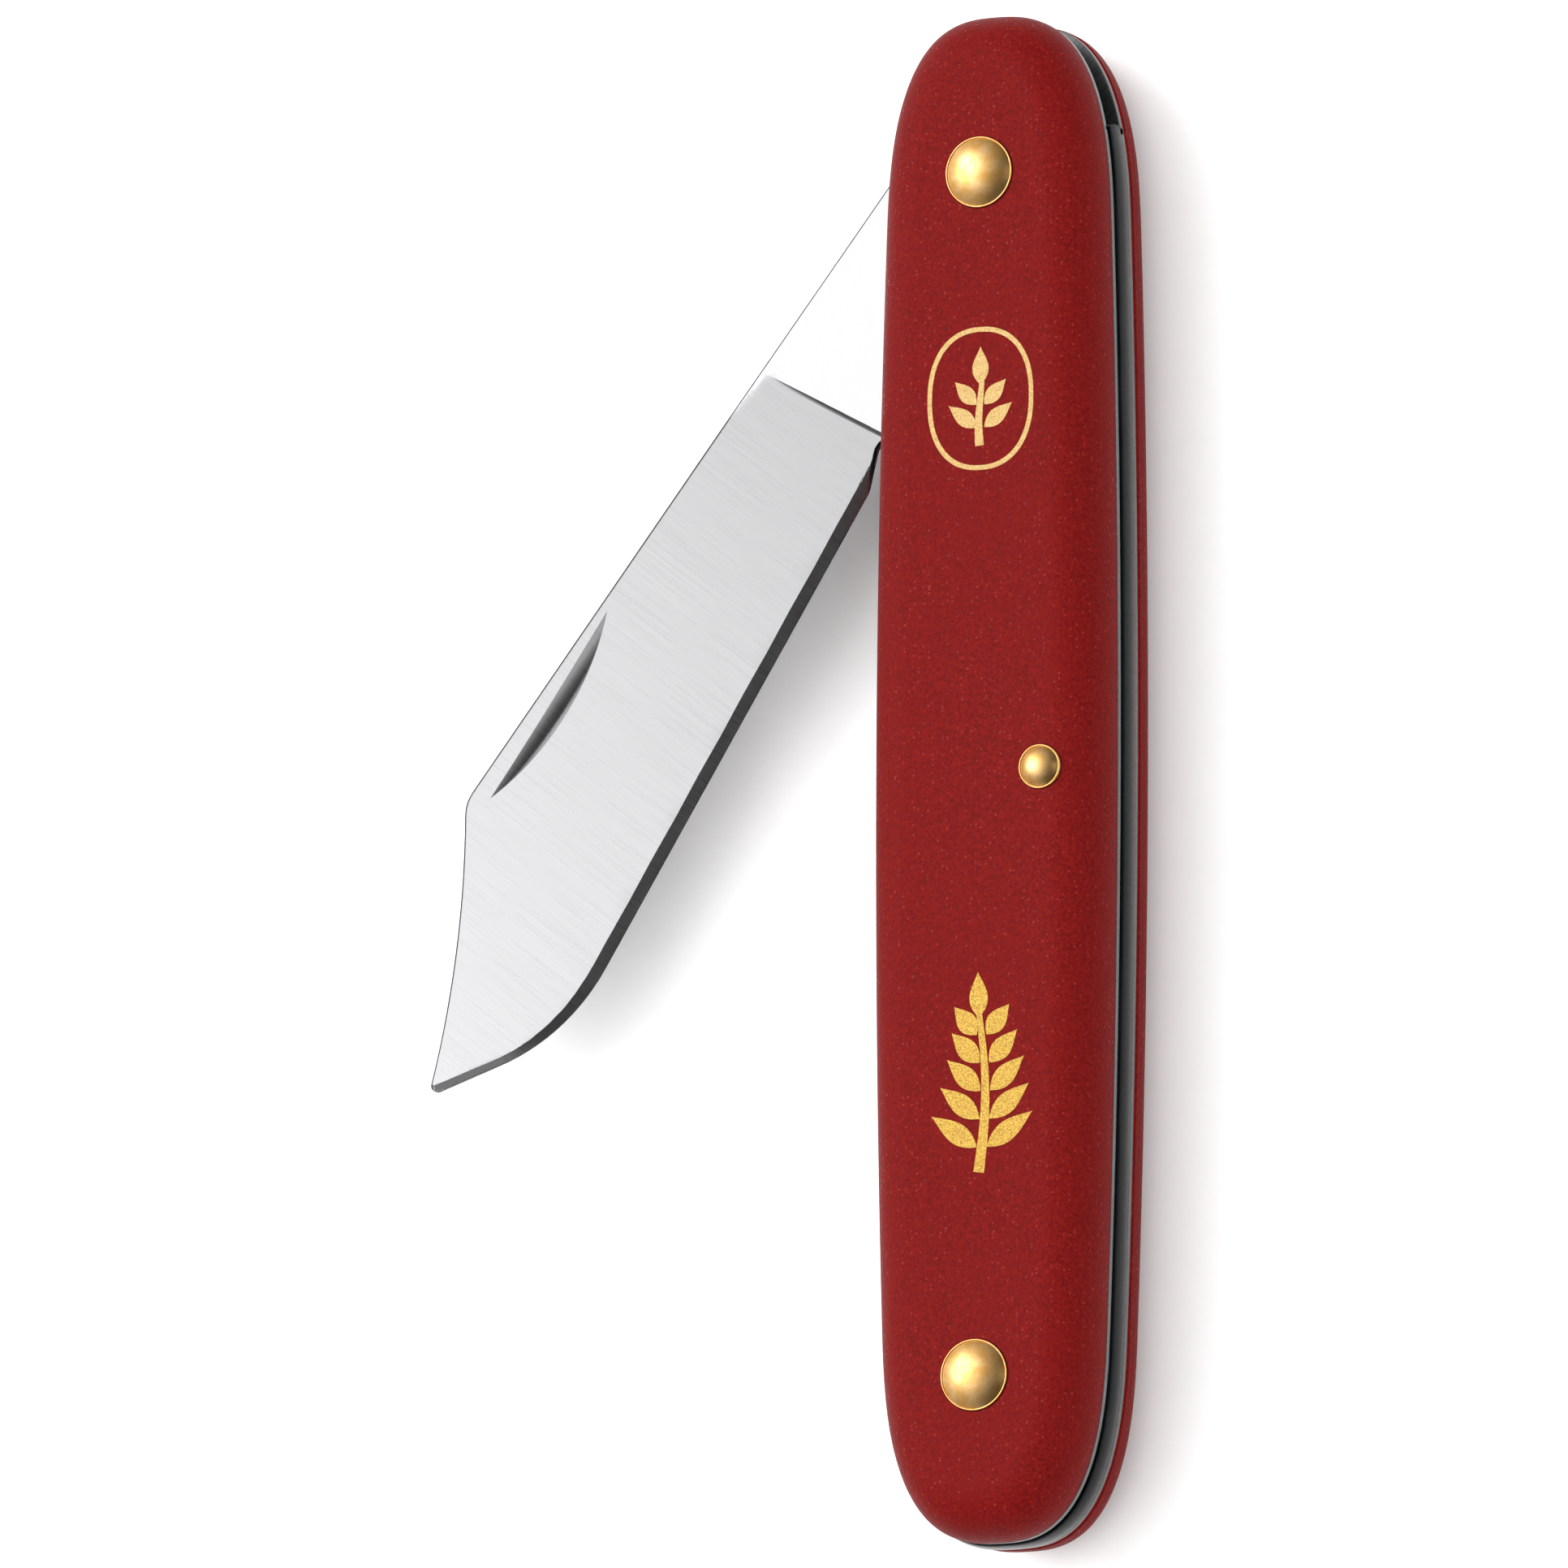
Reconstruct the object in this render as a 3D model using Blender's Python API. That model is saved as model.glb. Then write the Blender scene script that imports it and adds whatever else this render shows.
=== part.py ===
"""Folding grafting knife: two moulded scales, two liners, a back spring, one blade, three riveted pins.

The knife lies on its back scale. +Z is its thickness and points to the front scale, +Y runs along
the handle towards the blade's pivot, and +X points to the back spring. The origin is the centre
of the back scale's flat outer face.
"""
import math

import bmesh
import bpy
from mathutils import Vector

MM = 0.001

# Handle
HANDLE_LENGTH = 100.0 * MM
HANDLE_WIDTH = 16.56 * MM
HANDLE_BOW = 0.138          # share of the half width lost at the ends of the bowed sides
NOSE_LENGTH = 14.0 * MM     # length of each rounded end
NOSE_POWER_ALONG = 2.8
NOSE_POWER_ACROSS = 2.7
NOSE_EASE = 1.6             # above 1, sets a nose's points closer towards its top
NOSE_STEPS = 15
SIDE_STEPS = 12

# Layers, from the outside in
SCALE_THICKNESS = 4.0 * MM
SCALE_EDGE_RADIUS = 3.3 * MM
SCALE_EDGE_STEPS = 6
SCALE_INNER_CHAMFER = 0.2 * MM
LINER_THICKNESS = 0.5 * MM
LINER_INSET = 0.06 * MM
CORE_THICKNESS = 2.2 * MM   # the back spring and the blade's tang
LAYER_GAP = 0.04 * MM       # between pieces that are clamped on each other
RUNNING_GAP = 0.05 * MM     # between pieces that move on each other

# Pins and their domed caps
PIVOT_FROM_END = 10.7 * MM
END_PIN_FROM_END = 10.5 * MM
MIDDLE_PIN_FROM_BACK = 3.83 * MM
MIDDLE_PIN_Y = 0.0
LARGE_PIN_RADIUS = 1.1 * MM
SMALL_PIN_RADIUS = 0.8 * MM
LARGE_CAP_RADIUS = 2.35 * MM
SMALL_CAP_RADIUS = 1.46 * MM
LARGE_CAP_STANDS = 0.8 * MM   # height above the scale's face
SMALL_CAP_STANDS = 0.6 * MM
CAP_SEAT_DEPTH = 0.3 * MM
CAP_RIM = 0.14 * MM
CAP_SOCKET_DEPTH = 0.5 * MM
DOME_STEPS = 5
ROUND_STEPS = 32

# Back spring
SPRING_PROUD = 0.15 * MM
SPRING_END_FROM_PIVOT = 3.55 * MM
SPRING_PAD_DEPTH = 3.83 * MM  # from the handle's widest line to the face that bears on the tang
SPRING_PAD_LENGTH = 13.0 * MM
SPRING_ARM_DEPTH = 2.98 * MM  # the same along the thinner bending arm
SPRING_BLEND = 6.0 * MM
SPRING_EYE_WALL = 1.0 * MM    # metal left round the middle pin's hole
SPRING_EYE_LENGTH = 4.0 * MM
SPRING_FLEX_GAP = 0.2 * MM    # room for the middle pin in its hole as the spring bends
BUTT_TIP_GAP = 1.6 * MM       # room between the folded blade's tip and the spring's butt
BUTT_CORNER_RADIUS = 3.0 * MM
SPRING_STEPS = 60

# Blade, measured from its pivot: along the spine, and across towards the cutting edge
REST_ANGLE = math.radians(37.93)    # spine's angle from the handle as the knife is shown
CLOSED_ANGLE = math.radians(6.43)   # spine's angle from the handle with the blade folded
SPINE_OFFSET = 6.9 * MM
TIP_FROM_END_PIN = 8.05 * MM        # room that the blade's length leaves before the end pin
CLIP_FROM_TIP = 16.65 * MM
CLIP_CORNER_RADIUS = 2.5 * MM
CLIP_HOLLOW = 0.65 * MM
CLIP_STEPS = 8
TIP_ACROSS = 2.7 * MM
TIP_RADIUS = 0.3 * MM
BELLY_FROM_TIP = 8.65 * MM
BELLY_ACROSS = 8.33 * MM
BELLY_RADIUS = 14.2 * MM
EDGE_START_ALONG = 21.7 * MM
EDGE_START_ACROSS = 3.884 * MM
CHOIL_ALONG = 19.0 * MM
CHOIL_ACROSS = 2.66 * MM
CHOIL_RADIUS = 1.1 * MM
KICK_LENGTH = 9.0 * MM
SMALL_CORNER = 0.5 * MM
CORNER_STEP = math.radians(9.0)
STRAIGHT_TURN = 1e-4                # a corner that turns less than this stays a plain point

# Grinding of the blade
GRIND_RUNOUT_ALONG = 25.0 * MM
DISTAL_TAPER = 0.0108
EDGE_HALF_THICKNESS = 0.22 * MM
PLUNGE_ALONG = 18.65 * MM
PLUNGE_SLANT = 0.172
PLUNGE_RADIUS = 1.0 * MM
PLUNGE_STEPS = 6
GRIND_STEPS = 6
GRIND_COLUMNS = 7
BEVEL_SLOPE = 0.58
BEVEL_REACH = 3.0 * MM              # how far inwards the bevel's cutter runs
EDGE_LAND = 0.08 * MM
NICK_FROM_TIP = 25.15 * MM
NICK_LENGTH = 14.3 * MM
NICK_WIDTH = 1.15 * MM
NICK_FROM_SPINE = 1.1 * MM
NICK_TILT = math.radians(22.0)
NICK_CUTTER_STEPS = 128
NICK_CUTTER_DEPTH = 8.0 * MM

# Heights of the layers
BACK_LINER_Z = SCALE_THICKNESS + LAYER_GAP
CORE_Z = BACK_LINER_Z + LINER_THICKNESS + LAYER_GAP
FRONT_LINER_Z = CORE_Z + CORE_THICKNESS + LAYER_GAP
FRONT_SCALE_Z = FRONT_LINER_Z + LINER_THICKNESS + LAYER_GAP
FRONT_FACE_Z = FRONT_SCALE_Z + SCALE_THICKNESS
CORE_MID_Z = CORE_Z + CORE_THICKNESS / 2

# Places that follow from the handle's length and width
PIVOT_Y = HANDLE_LENGTH / 2 - PIVOT_FROM_END
END_PIN_Y = END_PIN_FROM_END - HANDLE_LENGTH / 2
MIDDLE_PIN_X = HANDLE_WIDTH / 2 - MIDDLE_PIN_FROM_BACK
SPRING_END_Y = PIVOT_Y + SPRING_END_FROM_PIVOT
SPRING_PAD_X = HANDLE_WIDTH / 2 - SPRING_PAD_DEPTH
SPRING_ARM_X = HANDLE_WIDTH / 2 - SPRING_ARM_DEPTH

# Blade sizes that follow from the pins and the spring
TIP_ALONG = PIVOT_Y - END_PIN_Y - TIP_FROM_END_PIN
CLIP_ALONG = TIP_ALONG - CLIP_FROM_TIP
BELLY_ALONG = TIP_ALONG - BELLY_FROM_TIP
NICK_ALONG = TIP_ALONG - NICK_FROM_TIP
EDGE_SLOPE = (BELLY_ACROSS - EDGE_START_ACROSS) / (BELLY_ALONG - EDGE_START_ALONG)
TANG_RADIUS = SPRING_PAD_X - RUNNING_GAP
STOP_ALONG = SPRING_END_FROM_PIVOT + RUNNING_GAP

# Building helpers
SMOOTH_ANGLE = math.radians(25.0)
CAP_SMOOTH_ANGLE = math.radians(35.0)
CUTTER_MARGIN = 2.0 * MM
LID_LIFT = 1.5              # a cutter's lid lies this much higher than its open sheet
MERGE_DISTANCE = 1e-7

# name: x, y, pin radius, cap radius, cap height above the face
RIVETS = {
    "pivot": (0.0, PIVOT_Y, LARGE_PIN_RADIUS, LARGE_CAP_RADIUS, LARGE_CAP_STANDS),
    "middle": (MIDDLE_PIN_X, MIDDLE_PIN_Y, SMALL_PIN_RADIUS, SMALL_CAP_RADIUS, SMALL_CAP_STANDS),
    "end": (0.0, END_PIN_Y, LARGE_PIN_RADIUS, LARGE_CAP_RADIUS, LARGE_CAP_STANDS),
}

# material: colour (linear), roughness, metallic
FINISHES = {
    "red_nylon": ((0.27, 0.0145, 0.0137, 1.0), 0.55, 0.0),
    "spring_steel": ((0.32, 0.32, 0.33, 1.0), 0.3, 1.0),
    "liner_metal": ((0.48, 0.48, 0.49, 1.0), 0.35, 1.0),
    "blade_steel": ((0.62, 0.62, 0.63, 1.0), 0.25, 1.0),
    "brass": ((0.78, 0.53, 0.2, 1.0), 0.28, 1.0),
}


# Scene and object helpers

def clear_scene():
    for old in list(bpy.data.objects):
        bpy.data.objects.remove(old, do_unlink=True)


def finish_material(name, finish):
    colour, roughness, metallic = FINISHES[finish]
    material = bpy.data.materials.new(name + "_" + finish)
    material.use_nodes = True
    shader = material.node_tree.nodes["Principled BSDF"]
    shader.inputs["Base Color"].default_value = colour
    shader.inputs["Roughness"].default_value = roughness
    shader.inputs["Metallic"].default_value = metallic
    material.diffuse_color = colour
    return material


def add_object(name, bm, finish=None, smooth_angle=SMOOTH_ANGLE):
    """Puts a closed bmesh into a named object with its normals facing out."""
    bmesh.ops.recalc_face_normals(bm, faces=bm.faces)
    mesh = bpy.data.meshes.new(name)
    bm.to_mesh(mesh)
    bm.free()
    mesh.shade_smooth()
    mesh.set_sharp_from_angle(angle=smooth_angle)
    piece = bpy.data.objects.new(name, mesh)
    bpy.context.scene.collection.objects.link(piece)
    if finish:
        mesh.materials.append(finish_material(name, finish))
    return piece


def cut_away(piece, cutter, name):
    """Takes the cutter's shape out of a piece and hides the cutter."""
    cutter.hide_render = True
    cutter.display_type = "WIRE"
    step = piece.modifiers.new(name, "BOOLEAN")
    step.operation = "DIFFERENCE"
    step.solver = "EXACT"
    step.object = cutter


# Outlines, as lists of (x, y)

def half_width(y):
    """Half the width of the bowed handle at height y, before the nose rounds it off."""
    return HANDLE_WIDTH / 2 * (1.0 - HANDLE_BOW * (2.0 * y / HANDLE_LENGTH) ** 2)


def right_side():
    """The handle's +X side from its lower end to its upper end: a bowed side between two noses."""
    straight = HANDLE_LENGTH / 2 - NOSE_LENGTH
    nose = []
    for step in range(NOSE_STEPS + 1):
        ease = 1.0 - (1.0 - step / NOSE_STEPS) ** NOSE_EASE
        turn = ease * math.pi / 2
        y = straight + NOSE_LENGTH * math.sin(turn) ** (2.0 / NOSE_POWER_ALONG)
        x = half_width(y) * max(math.cos(turn), 0.0) ** (2.0 / NOSE_POWER_ACROSS)
        nose.append((x, y))
    side = []
    for step in range(1, SIDE_STEPS):
        y = -straight + 2.0 * straight * step / SIDE_STEPS
        side.append((half_width(y), y))
    nose[-1] = (0.0, HANDLE_LENGTH / 2)
    lower = [(x, -y) for x, y in reversed(nose)]
    return lower + side + nose


def handle_outline(inset=0.0):
    """The whole outline, anticlockwise from the lower end, moved inwards by inset."""
    right = right_side()
    left = [(-x, y) for x, y in reversed(right[1:-1])]
    points = right + left
    return offset_loop(points, inset) if inset else points


def offset_loop(points, inset):
    """Moves each point of an anticlockwise loop inwards along its own normal."""
    moved = []
    count = len(points)
    for index in range(count):
        before = Vector(points[index - 1])
        after = Vector(points[(index + 1) % count])
        along = (after - before).normalized()
        moved.append((points[index][0] - along.y * inset, points[index][1] + along.x * inset))
    return moved


def arc(centre, radius, start, end, step=CORNER_STEP):
    """Points on a circle from one angle to another."""
    count = max(2, math.ceil(abs(end - start) / step))
    angles = [start + (end - start) * index / count for index in range(count + 1)]
    return [(centre[0] + radius * math.cos(a), centre[1] + radius * math.sin(a)) for a in angles]


def rounded(corners):
    """Turns (x, y, radius) corners of a closed loop into points, with an arc at each radius."""
    points = []
    count = len(corners)
    for index in range(count):
        here = Vector(corners[index][:2])
        radius = corners[index][2]
        into = (here - Vector(corners[index - 1][:2])).normalized()
        out = (Vector(corners[(index + 1) % count][:2]) - here).normalized()
        turn = into.angle_signed(out) if radius else 0.0
        if abs(turn) < STRAIGHT_TURN:
            points.append(tuple(here))
            continue
        reach = radius * math.tan(abs(turn) / 2)
        steps = max(2, math.ceil(abs(turn) / CORNER_STEP))
        side = -1.0 if turn > 0 else 1.0
        start = here - into * reach
        centre = start + Vector((-into.y, into.x)) * radius * side
        spoke = start - centre
        for step in range(steps + 1):
            angle = side * abs(turn) * step / steps
            c, s = math.cos(angle), math.sin(angle)
            points.append((centre.x + c * spoke.x - s * spoke.y, centre.y + s * spoke.x + c * spoke.y))
    return points


# Solids

def plate(outline, low, high):
    """A flat plate of any outline, as a bmesh."""
    bm = bmesh.new()
    face = bm.faces.new([bm.verts.new((x, y, low)) for x, y in outline])
    grown = bmesh.ops.extrude_face_region(bm, geom=[face])
    top = [item for item in grown["geom"] if isinstance(item, bmesh.types.BMVert)]
    bmesh.ops.translate(bm, verts=top, vec=(0.0, 0.0, high - low))
    return bm


def loft(rings):
    """A closed solid through rings of equally many points, with flat ends."""
    bm = bmesh.new()
    loops = [[bm.verts.new(point) for point in ring] for ring in rings]
    count = len(loops[0])
    for lower, upper in zip(loops, loops[1:]):
        for index in range(count):
            after = (index + 1) % count
            bm.faces.new((lower[index], lower[after], upper[after], upper[index]))
    bm.faces.new(list(reversed(loops[0])))
    bm.faces.new(loops[-1])
    return bm


def turned(profile, x, y):
    """Spins a profile of (radius, z) that starts and ends on the axis round a vertical axis."""
    bm = bmesh.new()
    verts = [bm.verts.new((x + radius, y, z)) for radius, z in profile]
    edges = [bm.edges.new(pair) for pair in zip(verts, verts[1:])]
    bmesh.ops.spin(
        bm,
        geom=verts + edges,
        cent=(x, y, 0.0),
        axis=(0.0, 0.0, 1.0),
        angle=2.0 * math.pi,
        steps=ROUND_STEPS,
        use_merge=True,
    )
    bmesh.ops.remove_doubles(bm, verts=bm.verts, dist=MERGE_DISTANCE)
    return bm


def rod(radius, low, high, x, y):
    return turned([(0.0, low), (radius, low), (radius, high), (0.0, high)], x, y)


# Handle pieces

def scale_rings():
    """Rings of the scale from its flat inner face at height 0 to its flat outer face."""
    shoulder = SCALE_THICKNESS - SCALE_EDGE_RADIUS
    levels = [(SCALE_INNER_CHAMFER, 0.0), (0.0, SCALE_INNER_CHAMFER)]
    for step in range(SCALE_EDGE_STEPS + 1):
        angle = math.pi / 2 * step / SCALE_EDGE_STEPS
        inset = SCALE_EDGE_RADIUS * (1.0 - math.cos(angle))
        levels.append((inset, shoulder + SCALE_EDGE_RADIUS * math.sin(angle)))
    return [[(x, y, height) for x, y in handle_outline(inset)] for inset, height in levels]


def make_scale(name, inner_z, facing):
    """One moulded scale, with a bore and a round seat for each riveted pin."""
    rings = [[(x, y, inner_z + facing * z) for x, y, z in ring] for ring in scale_rings()]
    scale = add_object(name, loft(rings), "red_nylon")
    face_z = inner_z + facing * SCALE_THICKNESS
    floor_z = face_z - facing * CAP_SEAT_DEPTH
    outside_z = face_z + facing * CUTTER_MARGIN
    for rivet, (x, y, pin_radius, cap_radius, _) in RIVETS.items():
        inside_z = inner_z - facing * CUTTER_MARGIN
        bore = [(0.0, inside_z), (pin_radius + LAYER_GAP, inside_z), (pin_radius + LAYER_GAP, floor_z)]
        seat = [(cap_radius + LAYER_GAP, floor_z), (cap_radius + LAYER_GAP, outside_z), (0.0, outside_z)]
        cutter = add_object(name + "_" + rivet + "_bore_cutter", turned(bore + seat, x, y))
        cut_away(scale, cutter, rivet + "_bore")
    return scale


def make_liner(name, low):
    """One thin liner plate with a hole for each pin."""
    liner = add_object(name, plate(handle_outline(LINER_INSET), low, low + LINER_THICKNESS), "liner_metal")
    for rivet, (x, y, pin_radius, _, _) in RIVETS.items():
        hole = rod(pin_radius + LAYER_GAP, low - CUTTER_MARGIN, low + CUTTER_MARGIN, x, y)
        cut_away(liner, add_object(name + "_" + rivet + "_hole_cutter", hole), rivet + "_hole")
    return liner


def make_pin(rivet):
    """A plain pin that runs through every layer into the sockets of both caps."""
    x, y, pin_radius, _, _ = RIVETS[rivet]
    low = CAP_SEAT_DEPTH - CAP_SOCKET_DEPTH
    return add_object(rivet + "_pin", rod(pin_radius, low, FRONT_FACE_Z - low, x, y), "brass")


def make_cap(rivet, name, face_z, facing):
    """A stamped cap: a low dome inside a thin rim, with a blind socket for the pin's end."""
    x, y, pin_radius, cap_radius, stands = RIVETS[rivet]
    floor = -CAP_SEAT_DEPTH + LAYER_GAP
    dome_radius = cap_radius - CAP_RIM
    socket_radius = pin_radius + LAYER_GAP
    socket_top = floor + CAP_SOCKET_DEPTH
    profile = [(0.0, socket_top), (socket_radius, socket_top), (socket_radius, floor)]
    profile += [(cap_radius, floor), (cap_radius, CAP_RIM), (dome_radius, CAP_RIM)]
    dome_height = stands - CAP_RIM
    sphere = (dome_radius ** 2 + dome_height ** 2) / (2.0 * dome_height)
    half_angle = math.asin(dome_radius / sphere)
    for step in range(1, DOME_STEPS + 1):
        angle = half_angle * (1.0 - step / DOME_STEPS)
        profile.append((sphere * math.sin(angle), stands - sphere * (1.0 - math.cos(angle))))
    profile[-1] = (0.0, stands)
    profile = [(radius, face_z + facing * height) for radius, height in profile]
    return add_object(name, turned(profile, x, y), "brass", CAP_SMOOTH_ANGLE)


# Back spring

def smooth_step(value):
    value = min(max(value, 0.0), 1.0)
    return 0.5 - 0.5 * math.cos(math.pi * value)


def spring_inner_x(y):
    """The spring's inner face: a thin arm, an eye round the middle pin, a pad under the tang."""
    eye_x = MIDDLE_PIN_X - SMALL_PIN_RADIUS - SPRING_FLEX_GAP - SPRING_EYE_WALL
    pad = smooth_step((y - (SPRING_END_Y - SPRING_PAD_LENGTH - SPRING_BLEND)) / SPRING_BLEND)
    eye = 1.0 - smooth_step((abs(y - MIDDLE_PIN_Y) - SPRING_EYE_LENGTH / 2) / SPRING_BLEND)
    return SPRING_ARM_X - pad * (SPRING_ARM_X - SPRING_PAD_X) - eye * (SPRING_ARM_X - eye_x)


def outer_x_at(loop, y):
    """Where the loop's +X side crosses a height."""
    side = sorted(((px, py) for px, py in loop if px >= 0.0), key=lambda point: point[1])
    for (x0, y0), (x1, y1) in zip(side, side[1:]):
        if y0 <= y <= y1:
            return x0 + (x1 - x0) * (y - y0) / (y1 - y0)
    return 0.0


def spring_outline():
    """Anticlockwise: round the butt, up the back to the free end, and down the inner face."""
    back = handle_outline(-SPRING_PROUD)
    butt_y = PIVOT_Y - math.hypot(TIP_ALONG, TIP_ACROSS) - BUTT_TIP_GAP
    left = sorted((point for point in back if point[0] < 0.0 and point[1] < butt_y), key=by_falling_y)
    right = sorted((point for point in back if point[0] >= 0.0 and point[1] < SPRING_END_Y), key=by_y)
    outline = [(-outer_x_at(back, butt_y), butt_y)] + left + right
    outline += [(outer_x_at(back, SPRING_END_Y), SPRING_END_Y)]
    corner_y = butt_y + BUTT_CORNER_RADIUS
    for step in range(SPRING_STEPS + 1):
        y = SPRING_END_Y + (corner_y - SPRING_END_Y) * step / SPRING_STEPS
        outline.append((spring_inner_x(y), y))
    centre = (SPRING_ARM_X - BUTT_CORNER_RADIUS, corner_y)
    return outline + arc(centre, BUTT_CORNER_RADIUS, 0.0, -math.pi / 2)[1:]


def by_y(point):
    return point[1]


def by_falling_y(point):
    return -point[1]


def make_spring():
    """The back spring: one plate that fills the core along the back and round the lower end."""
    bm = plate(spring_outline(), CORE_Z, CORE_Z + CORE_THICKNESS)
    bmesh.ops.translate(bm, verts=bm.verts, vec=(0.0, -END_PIN_Y, -CORE_MID_Z))
    spring = add_object("back_spring", bm, "spring_steel")
    spring.location = (0.0, END_PIN_Y, CORE_MID_Z)
    low = CORE_Z - CUTTER_MARGIN
    high = CORE_Z + CORE_THICKNESS + CUTTER_MARGIN
    end_hole = rod(LARGE_PIN_RADIUS + RUNNING_GAP, low, high, 0.0, END_PIN_Y)
    cut_away(spring, add_object("spring_end_hole_cutter", end_hole), "end_hole")
    eye = rod(SMALL_PIN_RADIUS + SPRING_FLEX_GAP, low, high, MIDDLE_PIN_X, MIDDLE_PIN_Y)
    cut_away(spring, add_object("spring_eye_cutter", eye), "eye")
    return spring


# Blade. Its own X runs along the spine to the tip, its Y across to the cutting edge.

def from_open(x, y):
    """A point of the open blade, by handle directions from the pivot, in the blade's own X and Y."""
    c, s = math.cos(CLOSED_ANGLE), math.sin(CLOSED_ANGLE)
    return (x * s + y * c, y * s - x * c)


def edge_line(along):
    """How far across the straight cutting edge lies: the blade widens towards its belly."""
    return BELLY_ACROSS + (along - BELLY_ALONG) * EDGE_SLOPE


def clip_points(start, end):
    """The hollow clip between the spine and the tip: a shallow arc that bows inwards."""
    start, end = Vector(start), Vector(end)
    along = end - start
    inward = Vector((-along.y, along.x)).normalized()
    points = []
    for step in range(1, CLIP_STEPS):
        share = step / CLIP_STEPS
        sag = CLIP_HOLLOW * 4.0 * share * (1.0 - share)
        points.append(tuple(start + along * share + inward * sag) + (0.0,))
    return points


def blade_outline():
    """The blade's outline from the stop face along the spine, clip, edge and round the tang."""
    stop_x = (SPINE_OFFSET + STOP_ALONG * math.sin(CLOSED_ANGLE)) / math.cos(CLOSED_ANGLE)
    clip_start = (CLIP_ALONG, -SPINE_OFFSET)
    tip = (TIP_ALONG, TIP_ACROSS)
    corners = [from_open(stop_x, STOP_ALONG) + (SMALL_CORNER,)]
    corners += [clip_start + (CLIP_CORNER_RADIUS,)]
    corners += clip_points(clip_start, tip)
    corners += [tip + (TIP_RADIUS,), (BELLY_ALONG, BELLY_ACROSS, BELLY_RADIUS)]
    corners += [(EDGE_START_ALONG, edge_line(EDGE_START_ALONG), CHOIL_RADIUS)]
    corners += [(CHOIL_ALONG, CHOIL_ACROSS, CHOIL_RADIUS)]
    corners += [from_open(-TANG_RADIUS, KICK_LENGTH) + (SMALL_CORNER,)]
    corners += [point + (0.0,) for point in tang_points()]
    corners += [from_open(TANG_RADIUS, STOP_ALONG) + (0.0,)]
    return rounded(corners)


def tang_points():
    """The round end of the tang, half a turn on the open blade's lower side."""
    return [from_open(x, y) for x, y in arc((0.0, 0.0), TANG_RADIUS, -math.pi, 0.0)]


def ground_z(along, across):
    """Half the thickness left by the flat grind: thin at the edge, tapering towards the tip."""
    spine = CORE_THICKNESS / 2 - (along - GRIND_RUNOUT_ALONG) * DISTAL_TAPER
    share = (across + SPINE_OFFSET) / (edge_line(along) + SPINE_OFFSET)
    return spine + (EDGE_HALF_THICKNESS - spine) * share


def grind_cutter(name, facing):
    """Everything that the grinding wheel takes off one face, with its rounded run-in."""
    runs = [math.sin(math.pi / 2 * step / PLUNGE_STEPS) for step in range(PLUNGE_STEPS + 1)]
    far = TIP_ALONG + CUTTER_MARGIN
    top = CORE_THICKNESS / 2 + CUTTER_MARGIN
    span = SPINE_OFFSET + BELLY_ACROSS + 2.0 * CUTTER_MARGIN
    bm = bmesh.new()
    columns = []
    for across_step in range(GRIND_COLUMNS):
        across = -SPINE_OFFSET - CUTTER_MARGIN + span * across_step / (GRIND_COLUMNS - 1)
        start = PLUNGE_ALONG - across * PLUNGE_SLANT
        stations = [(start + PLUNGE_RADIUS * (1.0 - math.sqrt(1.0 - run * run)), 1.0 - run) for run in runs]
        for step in range(1, GRIND_STEPS + 1):
            stations.append((start + PLUNGE_RADIUS + (far - start) * step / GRIND_STEPS, 0.0))
        column = []
        for along, rise in stations:
            floor = ground_z(along, across)
            height = floor + (top - floor) * rise
            column.append(bm.verts.new((along, across, facing * height)))
        columns.append(column)
    for left, right in zip(columns, columns[1:]):
        for index in range(len(left) - 1):
            bm.faces.new((left[index], left[index + 1], right[index + 1], right[index]))
    close_to_height(bm, facing * top)
    return add_object(name, bm)


def close_to_height(bm, height):
    """Extrudes a sheet's border to a flat lid, which makes a closed cutter of it."""
    rim = [edge for edge in bm.edges if edge.is_boundary]
    grown = bmesh.ops.extrude_edge_only(bm, edges=rim)
    lid_verts = [item for item in grown["geom"] if isinstance(item, bmesh.types.BMVert)]
    for vert in lid_verts:
        vert.co.z = height * LID_LIFT
    lid_edges = [edge for edge in bm.edges if edge.is_boundary]
    bmesh.ops.contextual_create(bm, geom=lid_edges)
    bmesh.ops.remove_doubles(bm, verts=bm.verts, dist=MERGE_DISTANCE)


def bevel_cutter():
    """The single bevel: a ribbon along the cutting edge from the choil to past the tip."""
    corners = [(EDGE_START_ALONG, edge_line(EDGE_START_ALONG), 0.0)]
    corners += [(BELLY_ALONG, BELLY_ACROSS, BELLY_RADIUS), (TIP_ALONG, TIP_ACROSS, 0.0)]
    path = [Vector(point) for point in rounded(corners)]
    path.append(path[-1] + (path[-1] - path[-2]).normalized() * CUTTER_MARGIN)
    rings = []
    for index, here in enumerate(path):
        along = (path[min(index + 1, len(path) - 1)] - path[max(index - 1, 0)]).normalized()
        outward = Vector((-along.y, along.x))
        sharp = EDGE_LAND - ground_z(here.x, here.y)
        section = []
        for reach in (-BEVEL_REACH, CUTTER_MARGIN):
            point = here + outward * reach
            section.append((point.x, point.y, sharp - reach * BEVEL_SLOPE))
        for reach in (CUTTER_MARGIN, -BEVEL_REACH):
            point = here + outward * reach
            section.append((point.x, point.y, 2.0 * CUTTER_MARGIN))
        rings.append(section)
    return add_object("bevel_cutter", loft(rings))


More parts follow.
